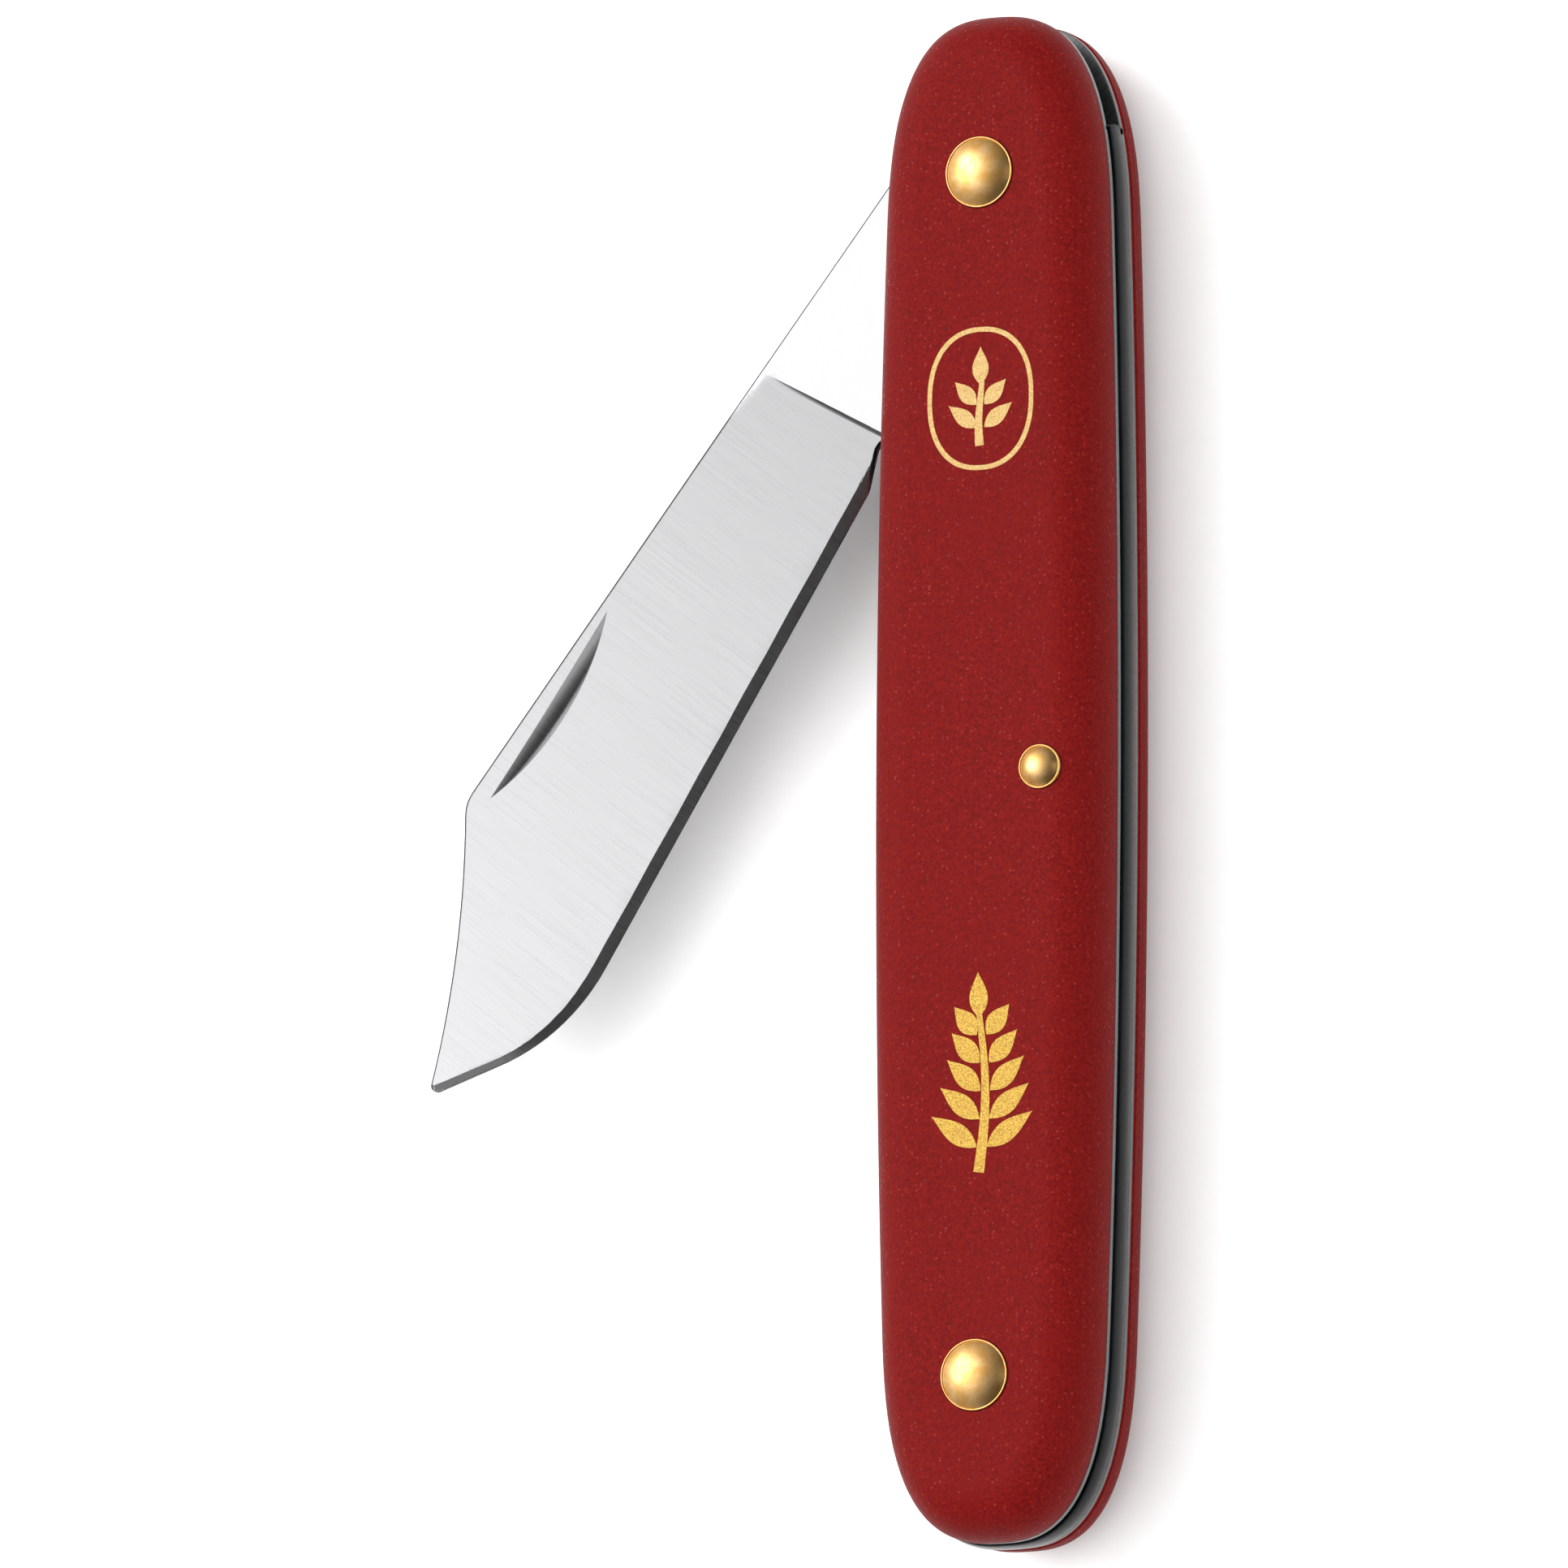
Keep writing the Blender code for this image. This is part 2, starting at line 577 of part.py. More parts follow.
def nick_cutter():
    """The nail nick: a tilted disc, flat face down, that leaves a crescent below the spine."""
    radius = (NICK_LENGTH ** 2 / 4.0 + NICK_WIDTH ** 2) / (2.0 * NICK_WIDTH)
    bm = bmesh.new()
    bmesh.ops.create_cone(
        bm,
        cap_ends=True,
        segments=NICK_CUTTER_STEPS,
        radius1=radius,
        radius2=radius,
        depth=NICK_CUTTER_DEPTH,
    )
    chord_across = NICK_FROM_SPINE - SPINE_OFFSET
    bmesh.ops.translate(bm, verts=bm.verts, vec=(0.0, NICK_WIDTH - radius, NICK_CUTTER_DEPTH / 2))
    cutter = add_object("nick_cutter", bm)
    cutter.rotation_euler = (-NICK_TILT, 0.0, 0.0)
    cutter.location = (NICK_ALONG, chord_across, ground_z(NICK_ALONG, chord_across))
    return cutter


def make_blade():
    """The blade with its tang, turned about the pivot to the angle it is shown at."""
    half = CORE_THICKNESS / 2
    blade = add_object("blade", plate(blade_outline(), -half, half), "blade_steel")
    hole = rod(LARGE_PIN_RADIUS + RUNNING_GAP, -CUTTER_MARGIN, CUTTER_MARGIN, 0.0, 0.0)
    cutters = [
        ("front_grind", grind_cutter("front_grind_cutter", 1.0)),
        ("back_grind", grind_cutter("back_grind_cutter", -1.0)),
        ("bevel", bevel_cutter()),
        ("nail_nick", nick_cutter()),
        ("pivot_hole", add_object("blade_hole_cutter", hole)),
    ]
    for step, cutter in cutters:
        cutter.parent = blade
        cut_away(blade, cutter, step)
    blade.location = (0.0, PIVOT_Y, CORE_MID_Z)
    blade.rotation_euler = (0.0, 0.0, -math.pi / 2 - REST_ANGLE)
    return blade


def build_knife():
    clear_scene()
    make_scale("back_scale", SCALE_THICKNESS, -1.0)
    make_liner("back_liner", BACK_LINER_Z)
    make_spring()
    make_blade()
    make_liner("front_liner", FRONT_LINER_Z)
    make_scale("front_scale", FRONT_SCALE_Z, 1.0)
    for rivet in RIVETS:
        make_pin(rivet)
        make_cap(rivet, rivet + "_cap_front", FRONT_FACE_Z, 1.0)
        make_cap(rivet, rivet + "_cap_back", 0.0, -1.0)
    bpy.context.view_layer.update()


build_knife()
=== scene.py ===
# %% [markdown]
# # A folding grafting knife
# A grafting knife cuts scions and rootstocks: its edge is straight, bevelled on one side only, and
# the blade folds into a handle of two moulded scales. The mechanical frame already knows where
# every piece sits and how the blade turns. Each cell below makes one kind of piece as a smooth
# surface, and the last ones give every piece a finish with detail at its real size.

# %% Open the frame
import math

import bmesh
import bpy
import numpy as np
from mathutils import Matrix, Vector


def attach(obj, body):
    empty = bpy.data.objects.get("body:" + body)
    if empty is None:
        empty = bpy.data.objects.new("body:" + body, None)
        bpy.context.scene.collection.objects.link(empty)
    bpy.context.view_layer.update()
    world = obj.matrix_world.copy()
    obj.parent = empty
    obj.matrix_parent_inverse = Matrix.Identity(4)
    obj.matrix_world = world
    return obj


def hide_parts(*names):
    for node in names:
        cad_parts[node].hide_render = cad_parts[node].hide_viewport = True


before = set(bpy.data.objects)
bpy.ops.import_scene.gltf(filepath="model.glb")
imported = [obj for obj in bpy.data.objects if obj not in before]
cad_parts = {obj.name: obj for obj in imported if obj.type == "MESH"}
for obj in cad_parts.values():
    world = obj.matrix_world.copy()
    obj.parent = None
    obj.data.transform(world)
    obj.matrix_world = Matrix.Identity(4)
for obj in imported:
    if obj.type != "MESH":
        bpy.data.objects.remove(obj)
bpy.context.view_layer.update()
MM = 0.001


# %% [markdown]
# ## Sizes
# All sizes are in metres, and they repeat the frame's own. They could be measured off the frame's
# meshes, but a few named sizes are easier to read, and every outline below follows from them. The
# knife lies on its back scale: X points to the back spring, Y to the pivot end and Z through the
# thickness to the front.

# %% Sizes
HANDLE_LENGTH, HANDLE_WIDTH, HANDLE_BOW = 100 * MM, 16.56 * MM, 0.138
NOSE_LENGTH, NOSE_ALONG, NOSE_ACROSS, NOSE_EASE = 14 * MM, 2.8, 2.7, 1.6
SCALE_THICKNESS, EDGE_RADIUS, INNER_CHAMFER = 4 * MM, 3.3 * MM, 0.2 * MM
LINER_THICKNESS, LINER_INSET, CORE_THICKNESS, LAYER_GAP = 0.5 * MM, 0.06 * MM, 2.2 * MM, 0.04 * MM
BACK_LINER_Z = SCALE_THICKNESS + LAYER_GAP
CORE_Z = BACK_LINER_Z + LINER_THICKNESS + LAYER_GAP
CORE_MID_Z = CORE_Z + CORE_THICKNESS / 2
FRONT_LINER_Z = CORE_Z + CORE_THICKNESS + LAYER_GAP
FRONT_SCALE_Z = FRONT_LINER_Z + LINER_THICKNESS + LAYER_GAP
FRONT_FACE_Z = FRONT_SCALE_Z + SCALE_THICKNESS
CAP_SEAT_DEPTH = 0.3 * MM
PIVOT_Y = 39.3 * MM
# name: x, y, pin radius, cap radius, height of the cap above the scale
RIVETS = {
    "pivot": (0.0, PIVOT_Y, 1.1 * MM, 2.35 * MM, 0.8 * MM),
    "middle": (4.45 * MM, 0.0, 0.8 * MM, 1.46 * MM, 0.6 * MM),
    "end": (0.0, -39.5 * MM, 1.1 * MM, 2.35 * MM, 0.8 * MM),
}
print("front face at", round(FRONT_FACE_Z / MM, 2), "mm")

# %% [markdown]
# ## Tools for surfaces
# A surface is a grid of points worked out as whole arrays. The same shapes could be pushed and
# pulled by hand, but a formula keeps their sizes exact and is easy to change. The first helper
# makes a mesh from points and faces, and the next ones join rings of points into solids.

# %% Meshes from points


def mesh_object(name, points, faces, sharp_degrees=20.0, second=None):
    """An object from an array of points and lists of faces, with its normals facing out.

    Points that fall on each other are merged, which closes seams and poles. Faces from number
    second on take the piece's second material."""
    mesh = bpy.data.meshes.new(name)
    mesh.from_pydata(points.tolist(), [], faces)
    if second is not None:
        mesh.polygons.foreach_set("material_index", (np.arange(len(faces)) >= second).astype(np.int32))
    bm = bmesh.new()
    bm.from_mesh(mesh)
    bmesh.ops.remove_doubles(bm, verts=bm.verts, dist=1e-7)
    bmesh.ops.recalc_face_normals(bm, faces=bm.faces)
    bm.to_mesh(mesh)
    bm.free()
    mesh.shade_smooth()
    mesh.set_sharp_from_angle(angle=math.radians(sharp_degrees))
    piece = bpy.data.objects.new(name, mesh)
    bpy.context.scene.collection.objects.link(piece)
    return piece


# %% Solids from rings


def ring_faces(rings, count, closed_rings=False):
    """Quads between neighbouring rings of count points; the first meets the last if closed."""
    ring = np.arange(rings if closed_rings else rings - 1)[:, None]
    spot = np.arange(count)[None]
    after, above = (spot + 1) % count, (ring + 1) % rings * count
    here = ring * count
    return np.stack([here + spot, here + after, above + after, above + spot], -1).reshape(-1, 4).tolist()


def lofted(name, rings, sharp_degrees=20.0):
    """A closed solid through an array of rings (ring, point, xyz), with flat ends."""
    count = rings.shape[1]
    faces = ring_faces(len(rings), count)
    faces += [list(range(count))[::-1], list(range((len(rings) - 1) * count, len(rings) * count))]
    return mesh_object(name, rings.reshape(-1, 3), faces, sharp_degrees)


def spun(name, profile, x, y, count=96, sharp_degrees=25.0):
    """Turns (radius, z) pairs about a vertical axis: x = radius * cos and y = radius * sin."""
    profile = np.array(profile)
    turn = np.linspace(0.0, 2.0 * np.pi, count, endpoint=False)
    rings = np.stack([
        x + profile[:, :1] * np.cos(turn),
        y + profile[:, :1] * np.sin(turn),
        np.repeat(profile[:, 1:], count, axis=1),
    ], -1)
    return mesh_object(name, rings.reshape(-1, 3), ring_faces(len(profile), count), sharp_degrees)


# %% [markdown]
# Holes and hollows are cut as a drill or a grinding wheel would cut them, by a Boolean with a
# closed tool. Its result replaces the mesh at once, so no modifier is left to work out later.

# %% Cutting and settling


def cut(piece, cutters, sharp_degrees=20.0):
    """Takes each closed cutter out of a piece for good, then marks the sharp edges again."""
    for cutter in cutters:
        step = piece.modifiers.new("cut", "BOOLEAN")
        step.solver = "EXACT"
        step.object = cutter
    bpy.context.view_layer.update()
    done = piece.evaluated_get(bpy.context.evaluated_depsgraph_get())
    piece.data = bpy.data.meshes.new_from_object(done)
    piece.data.name = piece.name
    piece.modifiers.clear()
    for cutter in cutters:
        bpy.data.objects.remove(cutter, do_unlink=True)
    piece.data.shade_smooth()
    piece.data.set_sharp_from_angle(angle=math.radians(sharp_degrees))
    return piece


def bore(x, y, radius, low, high):
    """A closed rod to cut a round hole with."""
    return spun("bore", [(0.0, low), (radius, low), (radius, high), (0.0, high)], x, y)


def settle(piece, body, slot, *nodes):
    """Lets a finished piece ride on a body and stand for its frame nodes. The slot is not used."""
    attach(piece, body)
    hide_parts(*nodes)
    print(f"{piece.name}: {len(piece.data.polygons)} faces, rides on {body}")
    return piece


# %% [markdown]
# ## The handle's outline
# Both sides bow gently, and each end is a superellipse: blunter than half a circle, with no corner
# where it meets the side. A Bezier curve could draw that too. A formula is used because the same
# outline, moved inwards or outwards by a little, also gives the liners and the spring's back.

# %% Handle outline


def half_width(y):
    """Half the handle's width: widest in the middle, less by the square of the way to the end."""
    return HANDLE_WIDTH / 2 * (1.0 - HANDLE_BOW * (2.0 * y / HANDLE_LENGTH) ** 2)


def handle_side(nose_steps=120, side_steps=120):
    """The +X side from the lower end up: nose, bowed side, nose.

    On a nose, with t from 0 to a quarter turn, y grows as sin(t) ^ (2 / 2.8) and x shrinks as
    half_width(y) * cos(t) ^ (2 / 2.7). The steps of t shrink towards the end, where x falls fastest."""
    straight = HANDLE_LENGTH / 2 - NOSE_LENGTH
    turn = (1.0 - (1.0 - np.linspace(0.0, 1.0, nose_steps + 1)) ** NOSE_EASE) * np.pi / 2
    nose_y = straight + NOSE_LENGTH * np.sin(turn) ** (2.0 / NOSE_ALONG)
    nose_x = half_width(nose_y) * np.clip(np.cos(turn), 0.0, 1.0) ** (2.0 / NOSE_ACROSS)
    nose_x[-1] = 0.0
    side_y = np.linspace(-straight, straight, side_steps + 1)[1:-1]
    x = np.concatenate([nose_x[::-1], half_width(side_y), nose_x])
    y = np.concatenate([-nose_y[::-1], side_y, nose_y])
    return np.stack([x, y], -1)


def outline_normals(loop):
    """Unit vectors that point into an anticlockwise loop, from each point's two neighbours."""
    along = np.roll(loop, -1, axis=0) - np.roll(loop, 1, axis=0)
    along /= np.linalg.norm(along, axis=1, keepdims=True)
    return np.stack([-along[:, 1], along[:, 0]], -1)


def handle_loop(inset=0.0):
    """The whole outline, anticlockwise from the lower end, moved inwards by inset."""
    right = handle_side()
    left = right[1:-1][::-1] * (-1.0, 1.0)
    loop = np.concatenate([right, left])
    return loop + outline_normals(loop) * inset


def stacked(sections):
    """Rings from (inset, z) pairs: each ring is the handle's outline, moved in, at its height."""
    loops = [(handle_loop(inset), z) for inset, z in sections]
    return np.stack([np.column_stack([loop, np.full(len(loop), z)]) for loop, z in loops])


print("outline of", len(handle_loop()), "points")

# %% [markdown]
# ## Scales
# A scale is moulded nylon with a flat face and a full, even round all the way about. An extruded
# outline with a Bevel modifier pinches at the ends, so the scale is a stack of outlines instead.
# Its edge is a quarter circle of 3.3 mm, and each pin gets a bore and a shallow seat for its cap.

# %% Scales


def scale_piece(name, inner_z, facing):
    """One scale: a small inner chamfer, a short wall, and a quarter circle up to the flat face."""
    turn = np.linspace(0.0, np.pi / 2, 25)
    insets = np.concatenate([[INNER_CHAMFER, 0.0], EDGE_RADIUS * (1.0 - np.cos(turn))])
    heights = np.concatenate([
        [0.0, INNER_CHAMFER],
        SCALE_THICKNESS - EDGE_RADIUS + EDGE_RADIUS * np.sin(turn),
    ])
    rings = stacked(zip(insets, inner_z + facing * heights))
    piece = lofted(name, rings)
    cutters = []
    face = inner_z + facing * SCALE_THICKNESS
    floor = face - facing * CAP_SEAT_DEPTH
    for x, y, pin, cap, _ in RIVETS.values():
        profile = [(0.0, inner_z - facing * MM), (pin + LAYER_GAP, inner_z - facing * MM)]
        profile += [(pin + LAYER_GAP, floor), (cap + LAYER_GAP, floor)]
        profile += [(cap + LAYER_GAP, face + facing * MM), (0.0, face + facing * MM)]
        cutters.append(spun("seat", profile, x, y))
    return cut(piece, cutters)


front_scale = scale_piece("moulded_front_scale", FRONT_SCALE_Z, 1.0)
back_scale = scale_piece("moulded_back_scale", SCALE_THICKNESS, -1.0)
settle(front_scale, "handle", "red_nylon", "front_scale")
settle(back_scale, "handle", "red_nylon", "back_scale")

# %% [markdown]
# ## Liners
# The liners are thin plates blanked from sheet. Only their edges show, as two fine lines along the
# spring. A sharp box edge would be a hard stripe there, so the corner that tumbling takes off is
# modelled as a quarter circle of 0.09 mm, which catches the light as metal does.

# %% Liners
LINER_CORNER = 0.09 * MM


def rounded_stack(low, high, radius, inset, steps=6):
    """(inset, z) pairs of a plate's side: a quarter circle at each corner and a wall between."""
    turn = np.linspace(0.0, np.pi / 2, steps + 1)
    lower = list(zip(inset + radius * (1.0 - np.sin(turn)), low + radius * (1.0 - np.cos(turn))))
    upper = list(zip(inset + radius * (1.0 - np.cos(turn)), high - radius * (1.0 - np.sin(turn))))
    return lower + upper


def liner_piece(name, low):
    """One liner plate with a hole for each pin."""
    piece = lofted(name, stacked(rounded_stack(low, low + LINER_THICKNESS, LINER_CORNER, LINER_INSET)))
    holes = [bore(x, y, pin + LAYER_GAP, low - MM, low + MM) for x, y, pin, _, _ in RIVETS.values()]
    return cut(piece, holes)


front_liner = liner_piece("blanked_front_liner", FRONT_LINER_Z)
back_liner = liner_piece("blanked_back_liner", BACK_LINER_Z)
settle(front_liner, "handle", "liner_metal", "front_liner")
settle(back_liner, "handle", "liner_metal", "back_liner")

# %% [markdown]
# ## Back spring
# The spring fills the core along the handle's back and round its lower end. Its back is crowned
# by grinding, so it catches the light in a line. One loop carried through the thickness would do
# for a flat spring. Here each height moves the back inwards by its own amount for the crown.

# %% Spring sizes
BUTT_Y = -33.1 * MM
SPRING_PROUD, SPRING_END_Y = 0.15 * MM, 42.85 * MM
PAD_X, ARM_X, PAD_LENGTH, BLEND = 4.45 * MM, 5.3 * MM, 13 * MM, 6 * MM
EYE_X, EYE_LENGTH, BUTT_CORNER = 2.45 * MM, 4 * MM, 3 * MM
SPRING_CROWN, SPRING_CORNER = 0.16 * MM, 0.3 * MM
END_HOLE_PLAY, MIDDLE_HOLE_PLAY = 0.05 * MM, 0.2 * MM

# %% Spring outline


def smooth_step(value):
    """Half a cosine wave from 0 to 1."""
    return 0.5 - 0.5 * np.cos(np.pi * np.clip(value, 0.0, 1.0))


def spring_inner_x(y):
    """The inner face: a thin arm, thicker round the middle pin and under the tang."""
    pad = smooth_step((y - (SPRING_END_Y - PAD_LENGTH - BLEND)) / BLEND)
    eye = 1.0 - smooth_step((np.abs(y) - EYE_LENGTH / 2) / BLEND)
    return ARM_X - pad * (ARM_X - PAD_X) - eye * (ARM_X - EYE_X)


def spring_loops():
    """The spring's outline in two parts: its back, and its inner side with the rounded butt."""
    loop = handle_loop(-SPRING_PROUD)
    right = loop[(loop[:, 0] >= 0.0) & (loop[:, 1] < SPRING_END_Y)]
    right = right[np.argsort(right[:, 1])]
    left = loop[(loop[:, 0] < 0.0) & (loop[:, 1] < BUTT_Y)]
    left = left[np.argsort(-left[:, 1])]
    end_x = np.interp(SPRING_END_Y, right[:, 1], right[:, 0])
    butt_x = -np.interp(BUTT_Y, right[:, 1], right[:, 0])
    back = np.concatenate([[(butt_x, BUTT_Y)], left, right, [(end_x, SPRING_END_Y)]])
    y = np.linspace(SPRING_END_Y, BUTT_Y + BUTT_CORNER, 240)
    inner = np.column_stack([spring_inner_x(y), y])
    turn = np.linspace(0.0, -np.pi / 2, 17)[1:]
    corner = np.column_stack([
        ARM_X - BUTT_CORNER + BUTT_CORNER * np.cos(turn),
        BUTT_Y + BUTT_CORNER + BUTT_CORNER * np.sin(turn),
    ])
    return back, np.concatenate([inner, corner])


# %% Back spring


def spring_piece():
    """The outline stacked through the thickness. The back moves in with the square of the way
    from the middle height, which crowns it, and every edge is rounded by a quarter circle."""
    back, inner = spring_loops()
    loop = np.concatenate([back, inner])
    normals = outline_normals(loop)
    is_back = (np.arange(len(loop)) < len(back)).astype(float)
    half = CORE_THICKNESS / 2
    turn = np.linspace(0.0, np.pi / 2, 7)
    wall = np.linspace(-half + SPRING_CORNER, half - SPRING_CORNER, 13)[1:-1]
    heights = np.concatenate([
        -half + SPRING_CORNER * (1.0 - np.cos(turn)), wall, half - SPRING_CORNER * (1.0 - np.sin(turn)),
    ])
    insets = np.concatenate([
        SPRING_CORNER * (1.0 - np.sin(turn)), np.zeros(len(wall)), SPRING_CORNER * (1.0 - np.cos(turn)),
    ])
    crowns = SPRING_CROWN * (heights / half) ** 2
    rings = []
    for height, inset, crown in zip(heights, insets, crowns):
        moved = loop + normals * (inset + crown * is_back)[:, None]
        rings.append(np.column_stack([moved, np.full(len(loop), CORE_MID_Z + height)]))
    piece = lofted("ground_back_spring", np.stack(rings), 25.0)
    holes = []
    for rivet, play in (("end", END_HOLE_PLAY), ("middle", MIDDLE_HOLE_PLAY)):
        x, y, pin, _, _ = RIVETS[rivet]
        holes.append(bore(x, y, pin + play, CORE_Z - MM, CORE_Z + CORE_THICKNESS + MM))
    return cut(piece, holes, 25.0)


back_spring = spring_piece()
settle(back_spring, "spring", "spring_steel", "back_spring")

# %% [markdown]
# ## Blade
# The blade is a flat tang, a ground wedge and one bevel. Boolean cuts with tilted blocks could
# grind it, but they leave long thin faces that shade badly. So it is worked out in its own
# directions instead: along the spine from the pivot to the tip, and across towards the edge.
# Straight rungs join the spine's side to the edge's side. Most of them slant as the line where
# the grinding starts does, so that line and the bevel stay crisp.

# %% Blade sizes
REST_TURN = -math.pi / 2 - math.radians(37.93)
CLOSED = math.radians(6.43)
SPINE, TIP, CLIP_ALONG = 6.9 * MM, (70.75 * MM, 2.7 * MM), 54.1 * MM
BELLY, EDGE_START = (62.1 * MM, 8.33 * MM), (21.7 * MM, 3.884 * MM)
CHOIL, KICK_LENGTH = (19 * MM, 2.66 * MM), 9 * MM
TANG_RADIUS, STOP_ALONG = 4.40 * MM, 3.60 * MM
CLIP_HOLLOW, TIP_ROUND, BELLY_ROUND = 0.65 * MM, 0.3 * MM, 14.2 * MM
STOP_ROUND, CLIP_ROUND, CHOIL_ROUND = 0.5 * MM, 2.5 * MM, 1.1 * MM
SLANT = 0.172   # a slanted rung falls back along the blade by this share of its way across
print("blade turned by", round(math.degrees(REST_TURN), 2), "degrees")

# %% Paths with rounded corners


def from_open(x, y):
    """Handle directions from the pivot, turned into the blade's along and across."""
    c, s = math.cos(CLOSED), math.sin(CLOSED)
    return (x * s + y * c, y * s - x * c)


def arc(centre, radius, start, end, steps):
    """Points on a circle between two angles."""
    turn = np.linspace(start, end, steps)
    return np.column_stack([centre[0] + radius * np.cos(turn), centre[1] + radius * np.sin(turn)])


def rounded(corners, step=math.radians(3.0)):
    """An open path through (x, y, radius) corners, each one replaced by the arc that fits it."""
    points = [np.array([corners[0][:2]])]
    for before, here, after in zip(corners, corners[1:], corners[2:]):
        spot = np.array(here[:2])
        into = (spot - np.array(before[:2])) / np.linalg.norm(spot - np.array(before[:2]))
        out = (np.array(after[:2]) - spot) / np.linalg.norm(np.array(after[:2]) - spot)
        turn = math.atan2(into[0] * out[1] - into[1] * out[0], into @ out)
        if not here[2] or abs(turn) < 1e-4:
            points.append(spot[None])
            continue
        side = math.copysign(1.0, turn)
        start = spot - into * here[2] * math.tan(abs(turn) / 2)
        centre = start + side * here[2] * np.array([-into[1], into[0]])
        first = math.atan2(start[1] - centre[1], start[0] - centre[0])
        points.append(arc(centre, here[2], first, first + turn, max(3, math.ceil(abs(turn) / step))))
    points.append(np.array([corners[-1][:2]]))
    return np.concatenate(points)


# %% Blade outline


def clip_path():
    """The hollow clip: a straight line to the tip, bowed inwards by a parabola."""
    start, end = np.array([CLIP_ALONG, -SPINE]), np.array(TIP)
    share = np.linspace(0.0, 1.0, 33)[1:-1, None]
    inward = np.array([-(end - start)[1], (end - start)[0]]) / np.linalg.norm(end - start)
    return start + (end - start) * share + inward * CLIP_HOLLOW * 4.0 * share * (1.0 - share)


def blade_sides():
    """Two dense paths from the tang's round end to the tip: by the spine, and by the edge."""
    stop_x = (SPINE + STOP_ALONG * math.sin(CLOSED)) / math.cos(CLOSED)
    clip = [(*point, 0.0) for point in clip_path()]
    round_tip = rounded([clip[-1], (*TIP, TIP_ROUND), (*BELLY, 0.0)])
    middle = len(round_tip) // 2
    spine_corners = [(*from_open(TANG_RADIUS, 0.0), 0.0), (*from_open(TANG_RADIUS, STOP_ALONG), 0.0)]
    spine_corners += [(*from_open(stop_x, STOP_ALONG), STOP_ROUND), (CLIP_ALONG, -SPINE, CLIP_ROUND)]
    spine_corners += clip
    edge_corners = [(*from_open(-TANG_RADIUS, 0.0), 0.0)]
    edge_corners += [(*from_open(-TANG_RADIUS, KICK_LENGTH), STOP_ROUND), (*CHOIL, CHOIL_ROUND)]
    edge_corners += [(*EDGE_START, CHOIL_ROUND), (*BELLY, BELLY_ROUND), (*round_tip[-2], 0.0)]
    lower = np.array([from_open(x, y) for x, y in arc((0, 0), TANG_RADIUS, -np.pi / 2, 0.0, 41)])
    upper = np.array([from_open(x, y) for x, y in arc((0, 0), TANG_RADIUS, -np.pi / 2, -np.pi, 41)])
    spine = np.concatenate([lower[:-1], rounded(spine_corners), round_tip[2:middle + 1]])
    edge = np.concatenate([upper[:-1], rounded(edge_corners), round_tip[middle:-2][::-1]])
    return dense(spine), dense(edge)


def path_length(path):
    """How far along a path each of its points lies."""
    return np.concatenate([[0.0], np.cumsum(np.linalg.norm(np.diff(path, axis=0), axis=1))])


def dense(path, step=0.04 * MM):
    """The same path with points about every 0.04 mm, its own points kept."""
    length = path_length(path)
    stops = np.union1d(length, np.arange(0.0, length[-1], step))
    return np.column_stack([np.interp(stops, length, path[:, k]) for k in (0, 1)])


spine_path, edge_path = blade_sides()
print("blade reaches", round(float(spine_path[:, 0].max()) / MM, 2), "mm from its pivot")

# %% [markdown]
# ### Heights
# The height of the face follows the wheel: a flat grind from a thick spine to a thin edge. The
# bevel is on the front only, as on any grafting knife, because the flat back lies on the wood and
# guides the cut. Both are formulas of the place on the blade, so any point can ask for its height.

# %% Ground faces and bevel
RUNOUT_ALONG, TAPER, EDGE_HALF = 24 * MM, 0.0108, 0.22 * MM
PLUNGE_ALONG, PLUNGE_WIDTH = 18.45 * MM, 0.38 * MM
BEVEL_WIDTH, EDGE_LAND = 0.69 * MM, 0.08 * MM
RIM_RADIUS, EDGE_RIM = 0.13 * MM, 0.015 * MM
BELLY_SHARE, BELLY_FROM, BELLY_TO = 0.55, BELLY[0] - 4 * MM, BELLY[0] + 3 * MM
EDGE_BACK, EDGE_JOIN = 3.0 * MM, 1.5 * MM
EDGE_SLOPE = (BELLY[1] - EDGE_START[1]) / (BELLY[0] - EDGE_START[0])
FULL = CORE_THICKNESS / 2


def ground(point):
    """Half the thickness that the flat grind leaves at (along, across) points."""
    spine = FULL - (point[..., 0] - RUNOUT_ALONG) * TAPER
    edge = BELLY[1] + (point[..., 0] - BELLY[0]) * EDGE_SLOPE
    return spine + (EDGE_HALF - spine) * (point[..., 1] + SPINE) / (edge + SPINE)


def face_height(point):
    """Half the thickness: flat tang, then down to the grind by a quarter ellipse 0.38 mm wide."""
    run = np.clip((point[..., 0] + SLANT * point[..., 1] - PLUNGE_ALONG) / PLUNGE_WIDTH, 0.0, 1.0)
    return FULL - np.maximum(FULL - ground(point), 0.0) * np.sqrt(1.0 - (1.0 - run) ** 2)


def bevel_width(along):
    """The bevel's width: 0.69 mm on the straight edge, a little over half of that on the belly."""
    return BEVEL_WIDTH * np.interp(along, [BELLY_FROM, BELLY_TO], [1.0, BELLY_SHARE])


